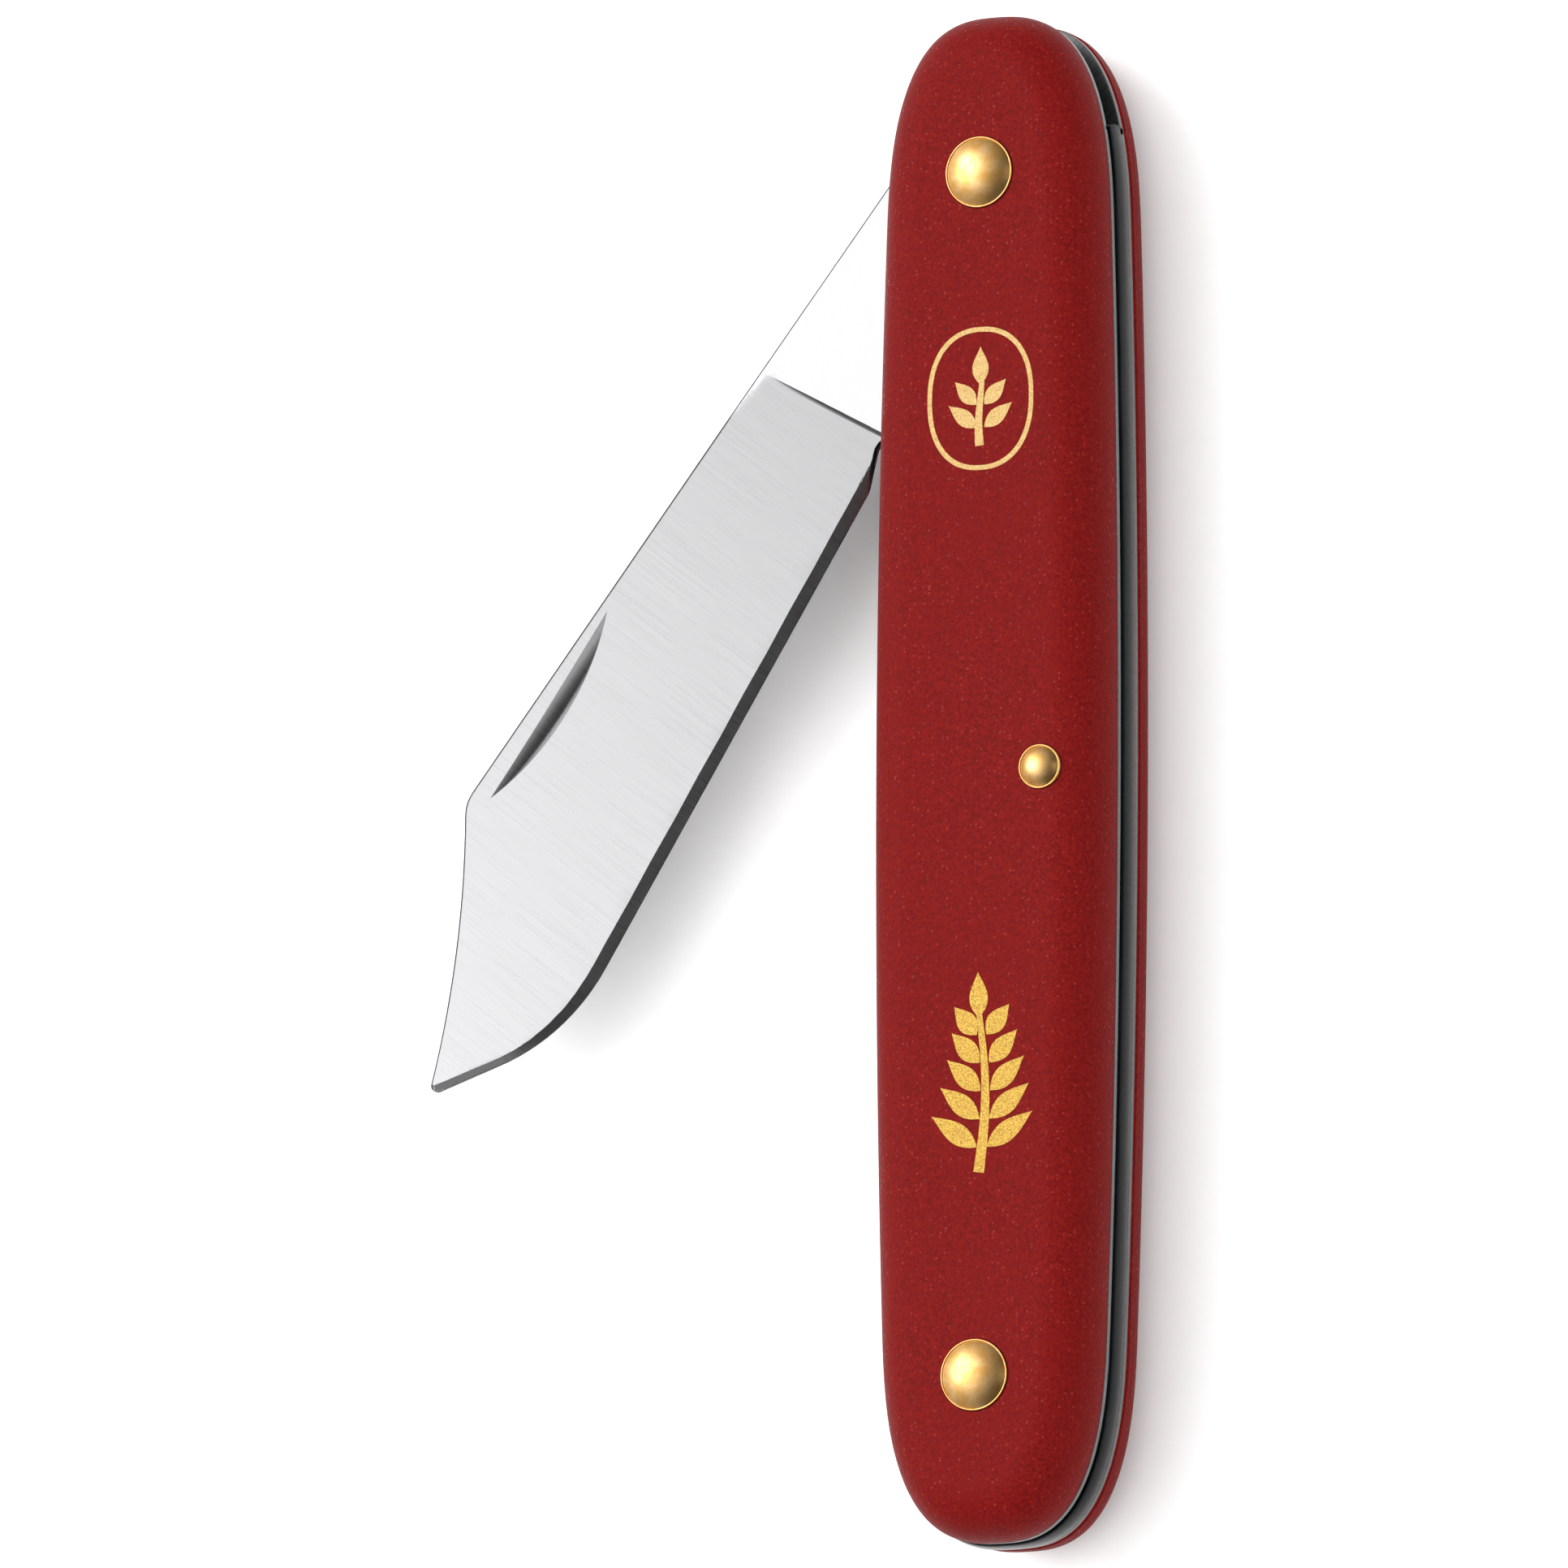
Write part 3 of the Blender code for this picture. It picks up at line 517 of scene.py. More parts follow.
def bevel_share(point):
    """1 on the cutting edge, falling to 0 over the bevel's width inwards.

    The straight edge is carried 3 mm back past its start, so the bevel leaves the choil as a wedge."""
    straight = np.linspace(-EDGE_BACK, EDGE_JOIN, 91)[:, None] * np.array([1.0, EDGE_SLOPE])
    edge = edge_path[edge_path[:, 0] > EDGE_START[0] + EDGE_JOIN][::2]
    edge = np.concatenate([np.array(EDGE_START) + straight, edge])
    gap = np.stack([np.linalg.norm(edge - row[:, None], axis=2).min(1) for row in point])
    return np.clip(1.0 - gap / bevel_width(point[..., 0]), 0.0, 1.0)


# %% [markdown]
# ### Rungs
# Each rung's two ends are read off the two sides at matching stations. They lie close together
# where the grinding starts and at the tip, and 0.4 mm apart on the plain stretch between.

# %% Rungs
RUNG_STEP, TIP_STRETCH, TANG_REACH = 0.4 * MM, 3.0 * MM, 12 * MM


def along_path(path, knots, counts):
    """Points at even steps of path length between each pair of knots, given as path lengths."""
    stops = [np.linspace(a, b, n, endpoint=False) for a, b, n in zip(knots, knots[1:], counts)]
    stops, length = np.concatenate(stops), path_length(path)
    return np.column_stack([np.interp(stops, length, path[:, k]) for k in (0, 1)])


def by_slant(path, stations):
    """Where a path crosses each slanted line along + 0.172 * across = station, beyond the tang."""
    ahead = path[path[:, 0] > TANG_REACH]
    slant = np.maximum.accumulate(ahead[:, 0] + SLANT * ahead[:, 1])
    return np.column_stack([np.interp(stations, slant, ahead[:, k]) for k in (0, 1)])


def nearest_length(path, point):
    """The path length at the path's point nearest to a given one."""
    return path_length(path)[int(np.argmin(np.linalg.norm(path - np.array(point), axis=1)))]


def rung_ends():
    """The two ends of every rung, from the tang's round end to the tip.

    Each mark is a place by the spine, one by the edge, and the rungs between it and the last."""
    run_in = PLUNGE_ALONG + PLUNGE_WIDTH * (1.0 - np.cos(np.linspace(0.0, np.pi / 2, 17)))
    last = spine_path[-1] @ np.array([1.0, SLANT])
    plain = np.arange(run_in[-1] + RUNG_STEP, last - TIP_STRETCH, RUNG_STEP)
    tip = last - TIP_STRETCH * (1.0 - np.linspace(0.0, 1.0, 31)) ** 1.6
    stations = np.concatenate([run_in, plain, tip])
    marks = [
        (from_open(TANG_RADIUS, 0.0), from_open(-TANG_RADIUS, 0.0), 24),
        (from_open(TANG_RADIUS, STOP_ALONG), (4.0 * MM, 4.86 * MM), 8),
        ((4.9 * MM, -SPINE), (5.0 * MM, 4.95 * MM), 16),
        (by_slant(spine_path, stations[:1])[0], by_slant(edge_path, stations[:1])[0], 30),
    ]
    counts = [count for _, _, count in marks]
    spine_knots = [0.0] + [nearest_length(spine_path, a) for a, _, _ in marks]
    edge_knots = [0.0] + [nearest_length(edge_path, b) for _, b, _ in marks]
    spine = np.concatenate([along_path(spine_path, spine_knots, counts), by_slant(spine_path, stations)])
    edge = np.concatenate([along_path(edge_path, edge_knots, counts), by_slant(edge_path, stations)])
    edge[-1] = spine[-1]
    return spine, edge


# %% [markdown]
# ### The blade's faces
# Front and back are sheets of rungs, and a rim joins them round the outline. The rim is rounded
# with 0.13 mm along the spine and almost sharp on the cutting edge. Its faces take the second
# material slot, because the spine is ground more coarsely than the faces, and because that material
# is painted near black as painted shade: the dark line along the blade's outline.

# %% Blade surface


def both_sides(values, rungs):
    """Splits values round the outline into those by the spine and those by the edge."""
    return values[:rungs], np.concatenate([values[:1], values[rungs:][::-1], values[rungs - 1:rungs]])


def blade_piece():
    """Rungs from side to side on both faces, joined round the outline by a rounded rim.

    Along a rung, point = spine + share * (edge - spine), with one column close by the spine so
    that the rim's roundness doesn't spread over the face. The back's height is the grind's. The
    front's is lower by the bevel's depth times the bevel's share, which makes a flat bevel."""
    spine, edge = rung_ends()
    rungs = len(spine)
    loop = np.concatenate([spine, edge[1:-1][::-1]])
    inward = outline_normals(loop)
    depth = 2.0 * EDGE_HALF - EDGE_LAND
    on_edge = bevel_share(loop[None])[0]
    rim = RIM_RADIUS + (EDGE_RIM - RIM_RADIUS) * on_edge
    back_line = -face_height(loop)
    front_line = face_height(loop) - depth * on_edge
    turn = np.linspace(0.0, np.pi / 2, 15)[:, None]
    insets = np.concatenate([rim * (1.0 - np.sin(turn)), rim * (1.0 - np.cos(turn))])
    heights = np.concatenate([
        back_line + rim * (1.0 - np.cos(turn)), front_line - rim * (1.0 - np.sin(turn)),
    ])
    rim_rings = np.concatenate([loop + inward * insets[..., None], heights[..., None]], -1)
    inner_spine, inner_edge = both_sides(loop + inward * rim[:, None], rungs)
    rung = inner_edge - inner_spine
    width = np.maximum(np.linalg.norm(rung, axis=1), 1e-9)
    _, edge_inward = both_sides(inward, rungs)
    _, edge_share = both_sides(on_edge, rungs)
    facing = np.maximum(-(rung * edge_inward).sum(1) / width, 0.2)
    bevel = np.maximum(bevel_width(inner_edge[:, 0]) * edge_share, 0.05 * MM)
    last = 1.0 - np.minimum(bevel / facing, 0.45 * width) / width
    share = np.concatenate([
        np.insert(np.linspace(0.0, 1.0, 33), 1, 0.002) * last[:, None],
        last[:, None] + (1.0 - last[:, None]) * np.linspace(0.0, 1.0, 7)[1:],
    ], 1)
    flat = inner_spine[:, None] + share[..., None] * rung[:, None]
    tops = face_height(flat)
    front = np.concatenate([flat, (tops - depth * bevel_share(flat))[..., None]], -1)
    back = np.concatenate([flat, -tops[..., None]], -1)
    front[:, 0, 2], front[:, -1, 2] = both_sides(front_line, rungs)
    back[:, 0, 2], back[:, -1, 2] = both_sides(back_line, rungs)
    columns = share.shape[1]
    grid = np.arange(rungs * columns).reshape(rungs, columns)
    quads = np.stack([grid[:-1, :-1], grid[1:, :-1], grid[1:, 1:], grid[:-1, 1:]], -1).reshape(-1, 4)
    sheet = rungs * columns
    faces = quads.tolist() + (quads[:, ::-1] + sheet).tolist()
    faces += (np.array(ring_faces(len(rim_rings), len(loop))) + 2 * sheet).tolist()
    points = np.concatenate([front.reshape(-1, 3), back.reshape(-1, 3), rim_rings.reshape(-1, 3)])
    return mesh_object("ground_blade", points, faces, second=2 * len(quads))


blade = blade_piece()
for _ in ("faces", "rim"):
    blade.data.materials.append(None)   # without slots a Boolean forgets which faces are the rim
print("blade surface of", len(blade.data.polygons), "faces")

# %% [markdown]
# ### Nail nick and pivot hole
# The nick is where a thumbnail catches to open the blade. A tilted wheel strikes it: the floor
# starts on a straight line 1.1 mm below the spine and sinks, more and more, towards a curved wall.
# It is cut by the wheel's own shape, which gives the slim bow of its outline for free. Then the
# blade turns to the angle it is shown at.

# %% Nail nick and pivot hole
NICK_ALONG, NICK_LENGTH, NICK_WIDTH = 46.45 * MM, 14.1 * MM, 1.3 * MM
NICK_FROM_SPINE, NICK_TILT, NICK_BOW = 1.1 * MM, math.radians(13.0), 0.40 * MM
DISC_HEIGHT, PIVOT_HOLE_RADIUS, BORE_REACH = 8 * MM, 1.15 * MM, 2 * MM


def place_blade(mesh):
    """Turns the blade's own directions into the frame's and moves its pivot into place."""
    mesh.transform(Matrix.Translation((0.0, PIVOT_Y, CORE_MID_Z)) @ Matrix.Rotation(REST_TURN, 4, "Z"))


def nick_cutter():
    """A disc tilted about the nick's chord. Past the chord its underside bows down with the square
    of the way, by 0.4 mm at the wall.

    Its radius comes from the nick's length and width: (length ^ 2 / 4 + width ^ 2) / (2 * width)."""
    radius = (NICK_LENGTH ** 2 / 4.0 + NICK_WIDTH ** 2) / (2.0 * NICK_WIDTH)
    way = np.linspace(0.0, 1.0, 13)
    reach = np.concatenate([radius - NICK_WIDTH * (1.0 - way), [radius]])
    turn = np.linspace(0.0, 2.0 * np.pi, 720, endpoint=False)
    across = NICK_WIDTH - radius + reach[:, None] * np.sin(turn)
    height = -NICK_BOW * np.clip(across / NICK_WIDTH, 0.0, 1.0) ** 2
    height[-1] = DISC_HEIGHT
    rings = np.stack([reach[:, None] * np.cos(turn), across, height], -1)
    disc = lofted("disc", rings)
    chord = NICK_FROM_SPINE - SPINE
    top = float(ground(np.array([NICK_ALONG, chord])))
    tilt = Matrix.Rotation(-NICK_TILT, 4, "X")
    disc.data.transform(Matrix.Translation((NICK_ALONG, chord, top)) @ tilt)
    return disc


cut(blade, [nick_cutter(), bore(0.0, 0.0, PIVOT_HOLE_RADIUS, -BORE_REACH, BORE_REACH)], 7.5)
place_blade(blade.data)
settle(blade, "blade", "blade_steel", "blade")

# %% [markdown]
# ## Rivet caps
# Each cap is stamped from brass sheet: a low dome inside a thin rim, with a fine groove between. A
# squashed sphere would have no rim, so the cap is a profile turned about its pin, like work on a
# lathe.

# %% Rivet caps
CAP_RIM, CAP_SOCKET, GROOVE_HEIGHT = 0.14 * MM, 0.5 * MM, 0.10 * MM


def cap_piece(name, x, y, pin, cap, stands, face, facing):
    """Turns the cap's profile about the pin: socket, side, rounded rim, groove and round dome.

    The dome is part of a sphere through the groove and the top."""
    floor = -CAP_SEAT_DEPTH + LAYER_GAP
    dome = cap - CAP_RIM
    rise = stands - GROOVE_HEIGHT
    sphere = (dome ** 2 + rise ** 2) / (2.0 * rise)
    lean = np.linspace(math.asin(dome / sphere), 0.0, 33)
    turn = np.linspace(0.0, np.pi, 9)
    rim = CAP_RIM / 2
    profile = [(0.0, floor + CAP_SOCKET), (pin + LAYER_GAP, floor + CAP_SOCKET), (pin + LAYER_GAP, floor)]
    profile += [(cap, floor)]
    profile += list(zip(cap - rim + rim * np.cos(turn), CAP_RIM - rim + rim * np.sin(turn)))
    profile += list(zip(sphere * np.sin(lean), stands - sphere * (1.0 - np.cos(lean))))
    profile = [(radius, face + facing * height) for radius, height in profile]
    return spun(name, profile, x, y, 128, 30.0)


caps = []
for rivet, (x, y, pin, cap, stands) in RIVETS.items():
    for side, face, facing in (("front", FRONT_FACE_Z, 1.0), ("back", 0.0, -1.0)):
        piece = cap_piece(f"stamped_{rivet}_cap_{side}", x, y, pin, cap, stands, face, facing)
        caps.append(settle(piece, "handle", "brass", f"{rivet}_cap_{side}"))

# %% [markdown]
# ## Foil ornaments
# Two plain leaf motifs are pressed into the front face in gold foil. They could be a mask in the
# nylon's material, but real edges stay sharp at any distance and can be exported. So every leaf,
# stem and ring is a thin plate that lies a few thousandths of a millimetre into the face.

# %% Foil shapes
FOIL_LOW, FOIL_HIGH = FRONT_FACE_Z - 0.005 * MM, FRONT_FACE_Z + 0.012 * MM
FOIL_STEP = 0.001 * MM   # each plate of a motif is this much higher than the one before


def leaf(x, y, degrees, length, width, steps=28):
    """A pointed leaf: its half width is a sine bulge, fullest before the middle."""
    share = np.linspace(0.0, 1.0, steps)
    bulge = width / 2 * np.sin(np.pi * share ** 0.8) ** 1.15
    upper = np.column_stack([share * length, bulge])
    lower = np.column_stack([share * length, -bulge])[1:-1][::-1]
    return turned_loop(np.concatenate([upper, lower])[::-1], x, y, degrees)


def turned_loop(loop, x, y, degrees):
    """A loop turned about its own zero and moved to a place."""
    angle = math.radians(degrees)
    c, s = math.cos(angle), math.sin(angle)
    return loop @ np.array([[c, s], [-s, c]]) + np.array([x, y])


def ribbon(path, widths):
    """A band of changing width along a path, as one loop."""
    path = np.array(path)
    along = np.gradient(path, axis=0)
    along /= np.linalg.norm(along, axis=1, keepdims=True)
    side = np.column_stack([-along[:, 1], along[:, 0]]) * np.array(widths)[:, None] / 2
    return np.concatenate([path - side, (path + side)[::-1]])


# %% Foil plates


def foil_piece(name, loops, rings=()):
    """Thin plates: each loop is a flat plate, and each ring pair is a band with a hole."""
    points, faces, first = [], [], 0
    for number, loop in enumerate(loops):
        count = len(loop)
        for z in (FOIL_LOW, FOIL_HIGH + number * FOIL_STEP):
            points.append(np.column_stack([loop, np.full(count, z)]))
        faces += [[first + i for i in face] for face in ring_faces(2, count)]
        faces += [[first + i for i in range(count)][::-1], [first + count + i for i in range(count)]]
        first += 2 * count
    for outer, inner in rings:
        count = len(outer)
        for loop, z in ((outer, FOIL_LOW), (outer, FOIL_HIGH), (inner, FOIL_HIGH), (inner, FOIL_LOW)):
            points.append(np.column_stack([loop, np.full(count, z)]))
        faces += [[first + i for i in face] for face in ring_faces(4, count, True)]
        first += 4 * count
    return mesh_object(name, np.concatenate(points), faces)


def oval(x, y, half_x, half_y, power=2.3, steps=160):
    """A superellipse: cosine and sine, each to the power 2 / 2.3 with its sign kept."""
    turn = np.linspace(0.0, 2.0 * np.pi, steps, endpoint=False)
    c, s = np.cos(turn), np.sin(turn)
    return np.column_stack([
        x + half_x * np.sign(c) * np.abs(c) ** (2.0 / power),
        y + half_y * np.sign(s) * np.abs(s) ** (2.0 / power),
    ])


# %% Foil motifs


def bud_motif(x, y):
    """A budded shoot inside an oval line: one upright stem, two leaf pairs and a top leaf."""
    height = np.linspace(-3.1, 1.4, 24) * MM
    sway = 0.12 * MM * np.sin(height / MM * 0.9)
    stem = ribbon(np.column_stack([x + sway, y + height]), np.linspace(0.62, 0.34, 24) * MM)
    loops = [stem, leaf(x, y + 0.9 * MM, 90, 2.5 * MM, 1.15 * MM)]
    for low, degrees, length in ((-1.9, 38, 2.5), (-0.4, 46, 2.2)):
        for side in (1, -1):
            turn = degrees if side > 0 else 180 - degrees
            loops.append(leaf(x + side * 0.28 * MM, y + low * MM, turn, length * MM, 1.05 * MM))
    ring = (oval(x, y, 3.75 * MM, 4.7 * MM), oval(x, y, 3.43 * MM, 4.38 * MM))
    return foil_piece("foil_bud_motif", loops, [ring])


def sprig_motif(x, y):
    """A tall sprig: a stem that sways by half a sine wave, with leaves in pairs, largest at its foot."""
    foot, tall, bow = -6.4 * MM, 10.3 * MM, 0.45 * MM
    share = np.linspace(0.0, 1.0, 48)
    centre = np.column_stack([x + bow * np.sin(np.pi * share), y + foot + tall * share])
    loops = [ribbon(centre, (0.75 - 0.35 * share) * MM), leaf(x, y + 3.7 * MM, 92, 3.0 * MM, 1.3 * MM)]
    for pair in range(5):
        part = 0.16 + 0.178 * pair
        spot = x + bow * math.sin(math.pi * part)
        length = 3.9 * MM * (1.0 - 0.09 * pair)
        for side in (1, -1):
            turn = 34 + 4 * pair if side > 0 else 146 - 4 * pair
            loops.append(leaf(spot + side * 0.34 * MM, y + foot + tall * part, turn, length, 1.35 * MM))
    return foil_piece("foil_sprig_motif", loops)


bud = bud_motif(0.15 * MM, 24.4 * MM)
sprig = sprig_motif(0.25 * MM, -19.9 * MM)
for motif in (bud, sprig):
    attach(motif, "handle")
    print(f"{motif.name}: {len(motif.data.polygons)} faces")

# %% [markdown]
# ## Materials
# Each finish starts from what the real one is and how its surface was made. It could be painted as
# an image, but a pattern of nodes has no seams, needs no unwrapping and keeps its real size.
# Patterns are measured in millimetres, and colours are written as they look on a screen.

# %% Colours and nodes


def colour(code):
    """A screen colour such as "a03020" as light values: each channel through the sRGB curve."""
    parts = [int(code[i:i + 2], 16) / 255.0 for i in (0, 2, 4)]
    return tuple(c / 12.92 if c <= 0.04045 else ((c + 0.055) / 1.055) ** 2.4 for c in parts) + (1.0,)


def node(tree, kind, out, inputs, **settings):
    """Adds a node, sets its properties, links or fills its inputs, and returns one output.

    Inputs are a dictionary by socket name or number, or values in the node's own order."""
    made = tree.nodes.new("ShaderNode" + kind)
    for name, value in settings.items():
        setattr(made, name, value)
    for name, value in inputs.items() if isinstance(inputs, dict) else enumerate(inputs):
        if isinstance(value, bpy.types.NodeSocket):
            tree.links.new(value, made.inputs[name])
        else:
            made.inputs[name].default_value = value
    return made.outputs[out]


print("grey 0.5 on screen is", round(colour("808080")[0], 3), "in light")

# %% [markdown]
# Four steps come back in the finishes: an empty material, a cloudy pattern of a real size, a tint
# where a pattern is strong, and a pattern that sets the roughness and raises the surface. Each is
# a small function, so a finish reads as a list of what was done to the surface.

# %% Steps of a finish


def new_material(name):
    """An empty material with its shader: returns the material, its tree and the shader node."""
    made = bpy.data.materials.new(name)
    made.use_nodes = True
    return made, made.node_tree, made.node_tree.nodes["Principled BSDF"]


def place(tree, turn=0.0, stretch=(1.0, 1.0, 1.0), move=(0.0, 0.0, 0.0)):
    """The piece's own coordinates, moved, turned about Z and stretched."""
    here = node(tree, "TexCoord", "Object", ())
    moved = node(tree, "VectorMath", "Vector", (here, move), operation="SUBTRACT")
    turned = node(tree, "VectorRotate", "Vector", {"Vector": moved, "Angle": turn}, rotation_type="Z_AXIS")
    return node(tree, "VectorMath", "Vector", (turned, stretch), operation="MULTIPLY")


def pattern(tree, millimetres, detail=3.0, roughness=0.55, **placing):
    """Cloud noise with features of about the given size. A stretch below 1 draws it out that way."""
    where = place(tree, **placing)
    sockets = {"Vector": where, "Scale": 1.0 / (millimetres * MM), "Detail": detail, "Roughness": roughness}
    return node(tree, "TexNoise", "Fac", sockets)


def tinted(tree, base, value, low, high, most, code):
    """Turns a colour towards another as a value goes from low to high, at the most by a share."""
    share = node(tree, "MapRange", "Result", (value, low, high, 0.0, most))
    return node(tree, "Mix", 2, {0: share, 6: base, 7: colour(code)}, data_type="RGBA")


def surfaced(tree, shader, shade, value, rough, millimetres, strength):
    """Links a colour, and lets a value set the roughness and raise the surface.

    The roughness goes through its two ends as the value goes from 0.3 to 0.7. Returns it and the
    raised normal, so that a finish can add to them."""
    rough = node(tree, "MapRange", "Result", (value, 0.3, 0.7, *rough))
    raised = {"Height": value, "Distance": millimetres * MM, "Strength": strength}
    normal = node(tree, "Bump", "Normal", raised)
    for socket, name in ((shade, "Base Color"), (rough, "Roughness"), (normal, "Normal")):
        tree.links.new(socket, shader.inputs[name])
    return rough, normal


# %% [markdown]
# ### Red nylon
# The scales are injection-moulded nylon, dyed dark red all through, from a spark-eroded mould. The
# sparks leave a fine pebbled grain of about a quarter of a millimetre, and a few smoother pebbles
# catch glints of light. These glints are also painted into the colour as a lighter red, a painted
# highlight. A plain red would look like paint, so the grain changes the colour, the roughness and
# the height.

# %% Red nylon


def moulded_nylon():
    """Dyed nylon moulded against a spark-eroded face: soft dark red pebbles, and fine smoother spots whose
    glints are a painted lighter red highlight.
    """
    made, tree, shader = new_material("moulded_red_nylon_spark_eroded")
    grain, fine, cloud = pattern(tree, 0.22, 2.0), pattern(tree, 0.09, 2.0), pattern(tree, 7.0, 2.0)
    cells = {"Vector": place(tree), "Scale": 1.0 / (0.34 * MM), "Randomness": 1.0}
    away = node(tree, "TexVoronoi", "Distance", cells)
    chosen = node(tree, "SeparateXYZ", "X", (away.node.outputs["Color"],))
    near = node(tree, "MapRange", "Result", (away, 0.12, 0.3, 1.0, 0.0))
    rare = node(tree, "MapRange", "Result", (chosen, 0.35, 0.95, 0.0, 1.0))
    painted_glint_and_smooth_spot = node(tree, "Math", 0, (near, rare), operation="MULTIPLY")
    shade = tinted(tree, colour("5c0706"), grain, 0.35, 0.65, 1.0, "73100e")
    shade = tinted(tree, shade, cloud, 0.35, 0.65, 0.35, "6b0a09")
    # Painted highlight: the colour is lifted towards a lighter red on the glinting spots; their lower
    # roughness below is real.
    shade = tinted(tree, shade, painted_glint_and_smooth_spot, 0.0, 1.0, 0.4, "a03a38")
    rough, pebbles = surfaced(tree, shader, shade, grain, (0.50, 0.62), 0.06, 0.9)
    rough = node(tree, "Math", 0, (painted_glint_and_smooth_spot, -0.25, rough), operation="MULTIPLY_ADD")
    tree.links.new(rough, shader.inputs["Roughness"])
    raised = {"Height": fine, "Distance": 0.02 * MM, "Strength": 0.6, "Normal": pebbles}
    tree.links.new(node(tree, "Bump", "Normal", raised), shader.inputs["Normal"])
    shader.inputs["Specular IOR Level"].default_value = 0.07
    return made


nylon = moulded_nylon()
print("finish made:", nylon.name)

# %% [markdown]
# ### Blade steel
# The blade is stainless steel. Its tang is polished and its ground faces have a cross-satin
# finish: fine lines across the blade. Both are the same metal, so one material tells them apart by
# the height: a face that lies below the tang's has been ground. The real lines are too fine to
# show at this size, so they are drawn 0.12 mm apart.

# %% Blade steel
SATIN_LINE, SATIN_LENGTH = 0.12, 9.0   # in millimetres
BLADE_PLACE = (0.0, PIVOT_Y, CORE_MID_Z)


def blade_steel():
    """Stainless steel with a polished, mirror-like tang and softly streaked ground faces."""
    made, tree, shader = new_material("stainless_steel_cross_satin")
    squeeze = SATIN_LINE / SATIN_LENGTH
    across = {"turn": -REST_TURN, "stretch": (1.0, squeeze, squeeze), "move": BLADE_PLACE}
    lines = pattern(tree, SATIN_LINE, 4.0, 0.65, **across)
    broad = pattern(tree, 4.0, 2.0, turn=-REST_TURN, stretch=(1.0, 0.25, 0.25), move=BLADE_PLACE)
    height = node(tree, "SeparateXYZ", "Z", (place(tree, move=BLADE_PLACE),))
    half = node(tree, "Math", 0, (height,), operation="ABSOLUTE")
    low, high = FULL - 0.004 * MM, FULL - 0.001 * MM
    polish = node(tree, "MapRange", "Result", (half, low, high, 0.0, 1.0))
    shade = tinted(tree, colour("a3a3a4"), lines, 0.3, 0.7, 1.0, "aaaaab")
    shade = tinted(tree, shade, broad, 0.3, 0.7, 0.4, "a8a8a9")
    shade = tinted(tree, shade, half, low, high, 1.0, "c9c9ca")
    shader.inputs["Metallic"].default_value = 1.0
    rough, normal = surfaced(tree, shader, shade, lines, (0.26, 0.34), 0.004, 0.2)
    rough = node(tree, "Mix", 0, {0: polish, 2: rough, 3: 0.08}, data_type="FLOAT")
    tree.links.new(rough, shader.inputs["Roughness"])
    depth = node(tree, "MapRange", "Result", (half, low, high, 0.2, 0.0))
    tree.links.new(depth, normal.node.inputs["Strength"])
    return made


blade_metal = blade_steel()
print("finish made:", blade_metal.name)

# %% [markdown]
# ### Other steels
# The blade's spine and rim are ground on a coarse stone, with lines along them. The spring is
# hardened and ground along its back, and the liners are tumbled sheet. The rim's near-black grey is
# painted shade, the dark line along the blade's outline, and the spring's is a painted dark
# reflection of the room in its polished steel. They differ in grey, in the way their lines run and
# in how deep these are, so one function makes all three from those numbers. Real lines of this kind
# are a few hundredths of a millimetre apart, too fine to show, so they are drawn 0.10 to 0.15 mm
# apart.

# %% Other steels


def worked_steel(name, line, placing, greys, patches, rough, relief):
    """A steel with lines, which are a pattern of (millimetres, detail, roughness) drawn out one way.

    Patches are (millimetres, low, high, share, grey) of a cloud that shifts the grey a little, and
    relief is the height in millimetres and the strength that the lines raise the surface by."""
    made, tree, shader = new_material(name)
    lines = pattern(tree, *line, **placing)
    shade = tinted(tree, colour(greys[0]), lines, 0.3, 0.7, 1.0, greys[1])
    for size, *tint in patches:
        shade = tinted(tree, shade, pattern(tree, size), *tint)
    shader.inputs["Metallic"].default_value = 1.0
    surfaced(tree, shader, shade, lines, rough, *relief)
    return made


# The rim's near-black greys are painted shade, the dark line along the blade's outline.
rim_steel_painted_dark = worked_steel(
    "stainless_steel_rim_painted_dark_line", (0.12, 4.0, 0.55),
    {"turn": -REST_TURN, "stretch": (0.1, 1.0, 1.0), "move": BLADE_PLACE},
    ("2a2b2c", "3c3d3d"), [], (0.3, 0.42), (0.006, 0.4))
# The spring's near-black greys are a painted dark reflection of the room in the polished steel.
spring_steel_painted_dark = worked_steel(
    "hardened_spring_steel_ground_painted_dark", (0.10, 4.0, 0.6), {"stretch": (1.0, 0.03, 1.0)},
    ("121314", "1e2021"), [(5.0, 0.4, 0.7, 0.4, "101112")], (0.2, 0.32), (0.004, 0.3))
liner_metal = worked_steel(
    "blanked_steel_sheet_tumbled", (0.15, 3.0, 0.55), {"turn": 0.6, "stretch": (1.0, 0.1, 1.0)},
    ("606162", "7b7c7c"), [(3.0, 0.4, 0.7, 0.35, "5f6162")], (0.28, 0.42), (0.005, 0.3))
print("finishes made:", rim_steel_painted_dark.name, spring_steel_painted_dark.name, liner_metal.name)

# %% [markdown]
# ### Brass and foil
# The caps are stamped and polished brass. A perfectly smooth dome would look like a bead of glass,
# so the faint waves of the press and the scratches of the polish are drawn too, the scratches as
# coarse as they need to be to show. The foil is gold film on pebbled nylon: it follows the pebbles,
# so it breaks up into tiny specks.

# %% Brass and foil


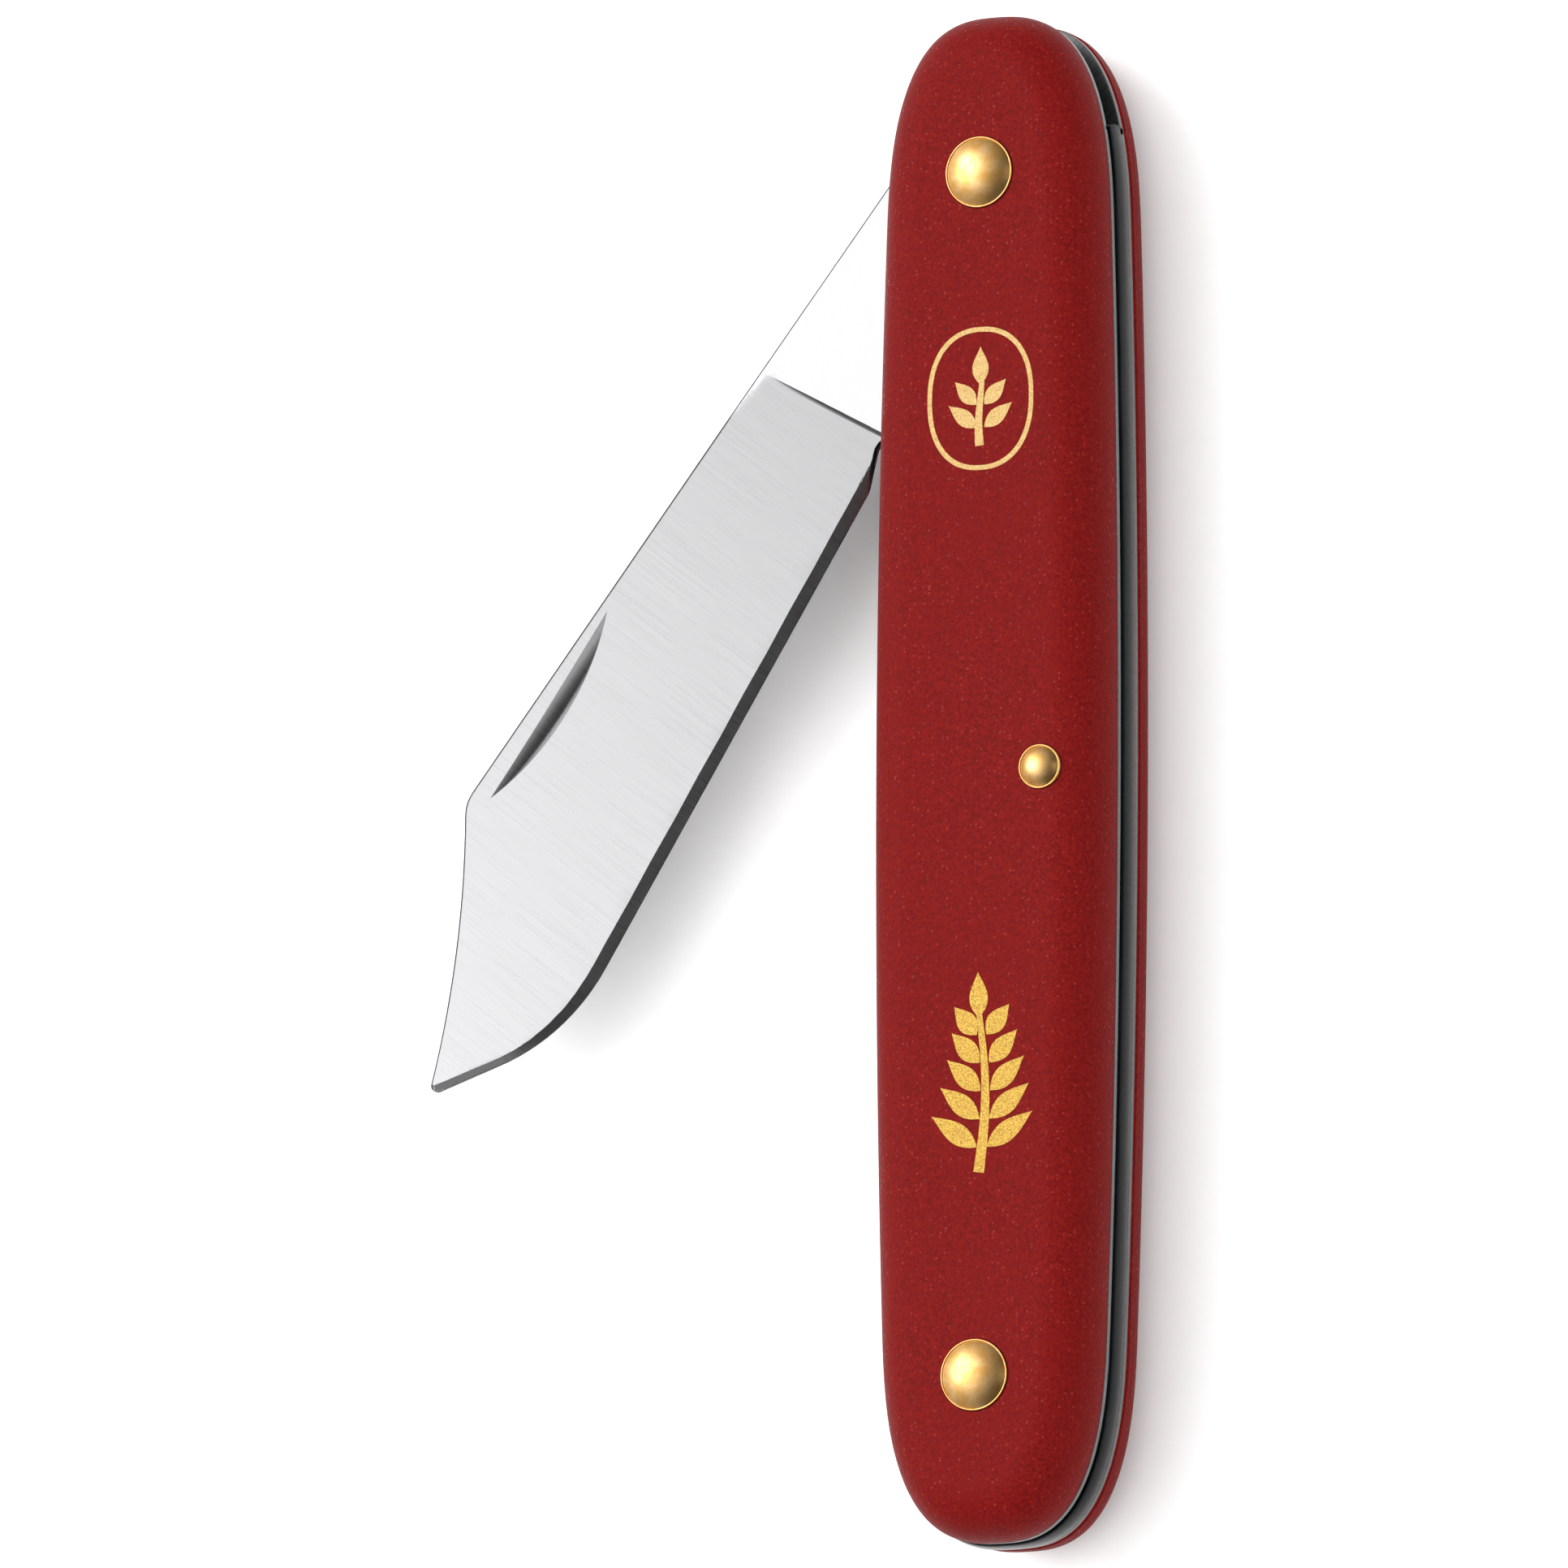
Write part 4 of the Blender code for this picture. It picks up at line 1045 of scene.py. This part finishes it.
def stamped_brass():
    """Stamped brass, polished: warm yellow, with faint waves and fine scratches."""
    made, tree, shader = new_material("stamped_brass_polished")
    waves = pattern(tree, 0.9, 2.0)
    fine = pattern(tree, 0.12, 3.0, turn=0.4, stretch=(1.0, 0.3, 1.0))
    shade = tinted(tree, colour("e8b062"), waves, 0.35, 0.65, 1.0, "f3c788")
    shade = tinted(tree, shade, fine, 0.5, 0.75, 0.5, "d9a04a")
    shader.inputs["Metallic"].default_value = 1.0
    _, scratched = surfaced(tree, shader, shade, fine, (0.30, 0.38), 0.003, 0.15)
    raised = {"Height": waves, "Distance": 0.02 * MM, "Strength": 0.25, "Normal": scratched}
    tree.links.new(node(tree, "Bump", "Normal", raised), shader.inputs["Normal"])
    return made


def pressed_foil(name, low, high, metallic):
    """Hot-pressed gold film that follows the nylon's pebbles, between two golds."""
    made, tree, shader = new_material(name)
    shade = tinted(tree, colour(low), pattern(tree, 0.10, 2.0), 0.35, 0.65, 1.0, high)
    shader.inputs["Metallic"].default_value = metallic
    surfaced(tree, shader, shade, pattern(tree, 0.22, 2.0), (0.38, 0.5), 0.03, 0.5)
    return made


brass = stamped_brass()
bright_foil = pressed_foil("hot_pressed_bright_gold_foil", "9f7d49", "bba26e", 0.85)
gold_film = pressed_foil("hot_pressed_gold_pigment_film", "8c6820", "c4a046", 0.6)
print("finishes made:", brass.name, bright_foil.name, gold_film.name)

# %% [markdown]
# ### Giving out the finishes
# Each finish goes into the first material slot of its pieces, and the rim's into the blade's
# second. The rivet pins are the frame's own nodes. Their ends are hidden under the caps, so they
# are carried over and only get the brass.

# %% Giving out the finishes
pins = [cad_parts[f"{rivet}_pin"] for rivet in RIVETS]
finishes = {
    nylon: [front_scale, back_scale],
    blade_metal: [blade],
    spring_steel_painted_dark: [back_spring],
    liner_metal: [front_liner, back_liner],
    brass: caps + pins,
    bright_foil: [bud],
    gold_film: [sprig],
}
for material, pieces in finishes.items():
    for piece in pieces:
        if not piece.data.materials:
            piece.data.materials.append(None)
        piece.data.materials[0] = material
    print(material.name, "on", len(pieces), "pieces")
blade.data.materials[1] = rim_steel_painted_dark
print(sum(face.material_index == 1 for face in blade.data.polygons), "faces of the blade are rim")

# %% [markdown]
# ## Studio
# The knife lies on a plain pale floor under soft boxes. The camera looks down on its front, a
# little from the spring's side, so that the spring and both liners show. A long lens from far
# away keeps the handle's sides parallel, where a short one would swell the near end.

# %% Camera
VIEW_BACK = Vector((0.4032, -0.1547, 0.9019)).normalized()
VIEW_RIGHT = Vector((0.9132, 0.0049, -0.4074)).normalized()
VIEW_UP = VIEW_BACK.cross(VIEW_RIGHT).normalized()
VIEW_RIGHT = VIEW_UP.cross(VIEW_BACK)
VIEW_WIDTH, VIEW_DISTANCE, SENSOR = 101.7 * MM, 2.4, 36.0
AIM_LEFT, AIM_DOWN = 14.79 * MM, 0.066 * MM
aim = Vector((0.0, 0.0, CORE_MID_Z)) - AIM_LEFT * VIEW_RIGHT - AIM_DOWN * VIEW_UP
lens = bpy.data.cameras.new("camera")
lens.sensor_width = SENSOR
lens.lens = SENSOR * VIEW_DISTANCE / VIEW_WIDTH
camera = bpy.data.objects.new("camera", lens)
bpy.context.scene.collection.objects.link(camera)
turn = Matrix((VIEW_RIGHT, VIEW_UP, VIEW_BACK)).transposed().to_4x4()
camera.matrix_world = Matrix.Translation(aim + VIEW_BACK * VIEW_DISTANCE) @ turn
bpy.context.scene.camera = camera
print("lens of", round(lens.lens), "mm at", VIEW_DISTANCE, "m")

# %% [markdown]
# ### Floor and lights
# Steel and brass show what stands around them, so the lights are large boxes and the room is
# graded from dark to pale. One lamp would leave a small hard spot on each cap instead. Two boxes
# only fill the shadows and are not mirrored, which keeps the blade's grey.

# %% Floor
FLOOR_Z, FLOOR_HALF = -0.8 * MM, 12.0


def studio_floor():
    """A large sheet of pale painted board just under the lowest rivet caps."""
    corners = [(-FLOOR_HALF, -FLOOR_HALF), (FLOOR_HALF, -FLOOR_HALF)]
    corners += [(FLOOR_HALF, FLOOR_HALF), (-FLOOR_HALF, FLOOR_HALF)]
    points = np.column_stack([np.array(corners), np.full(4, FLOOR_Z)])
    floor = mesh_object("studio_floor", points, [[0, 1, 2, 3]])
    made, tree, shader = new_material("pale_painted_board")
    shade = tinted(tree, colour("f6f6f6"), pattern(tree, 2.0, 2.0), 0.0, 1.0, 1.0, "fafafa")
    tree.links.new(shade, shader.inputs["Base Color"])
    shader.inputs["Roughness"].default_value = 0.9
    shader.inputs["Specular IOR Level"].default_value = 0.1
    floor.data.materials.append(made)
    return floor


floor = studio_floor()
print(floor.name, "at", round(FLOOR_Z / MM, 2), "mm")

# %% Lights


def softbox(name, direction, size, radiance, distance=6.0, mirrored=True):
    """A rectangular light that faces the knife. Its size is two half angles in degrees, as seen
    from the knife, and radiance is the brightness of its face."""
    light = bpy.data.lights.new(name, "AREA")
    edge_x, edge_y = (2.0 * distance * math.tan(math.radians(a)) for a in size)
    light.shape = "RECTANGLE"
    light.size, light.size_y = edge_x, edge_y
    light.energy = radiance * math.pi * edge_x * edge_y
    lamp = bpy.data.objects.new(name, light)
    bpy.context.scene.collection.objects.link(lamp)
    away = Vector(direction).normalized()
    facing = away.to_track_quat("Z", "Y").to_matrix().to_4x4()
    lamp.matrix_world = Matrix.Translation(away * distance) @ facing
    lamp.visible_glossy = mirrored
    return lamp


softbox("key_box", (-0.50, 0.16, 0.85), (27, 27), 0.7)
softbox("small_box", (-0.66, 0.30, 0.68), (18, 18), 3.6)
softbox("fill_box", (-0.05, 0.0, 1.0), (50, 50), 1.15, mirrored=False)
softbox("edge_fill", (0.80, -0.15, 0.60), (32, 32), 1.0, mirrored=False)
softbox("side_box", (0.90, 0.10, 0.42), (12, 28), 0.5)
softbox("foot_box", (-0.30, -0.88, 0.36), (22, 8), 0.6)
print(len(bpy.data.lights), "soft boxes")

# %% Room


def studio_air(bright=(-0.62, 0.26, 0.74), low=0.07, high=0.95):
    """The room around: dark by the camera and the spring's side, pale towards the key box."""
    world = bpy.data.worlds.new("studio_air")
    world.use_nodes = True
    tree = world.node_tree
    where = node(tree, "TexCoord", "Generated", ())
    towards = node(tree, "VectorMath", "Value", (where, bright), operation="DOT_PRODUCT")
    strength = node(tree, "MapRange", "Result", (towards, 0.35, 0.95, low, high))
    tree.links.new(strength, tree.nodes["Background"].inputs["Strength"])
    tree.nodes["Background"].inputs["Color"].default_value = colour("ffffff")
    return world


bpy.context.scene.world = studio_air()
bpy.context.scene.view_settings.view_transform = "Standard"
print("room ready:", bpy.context.scene.world.name)
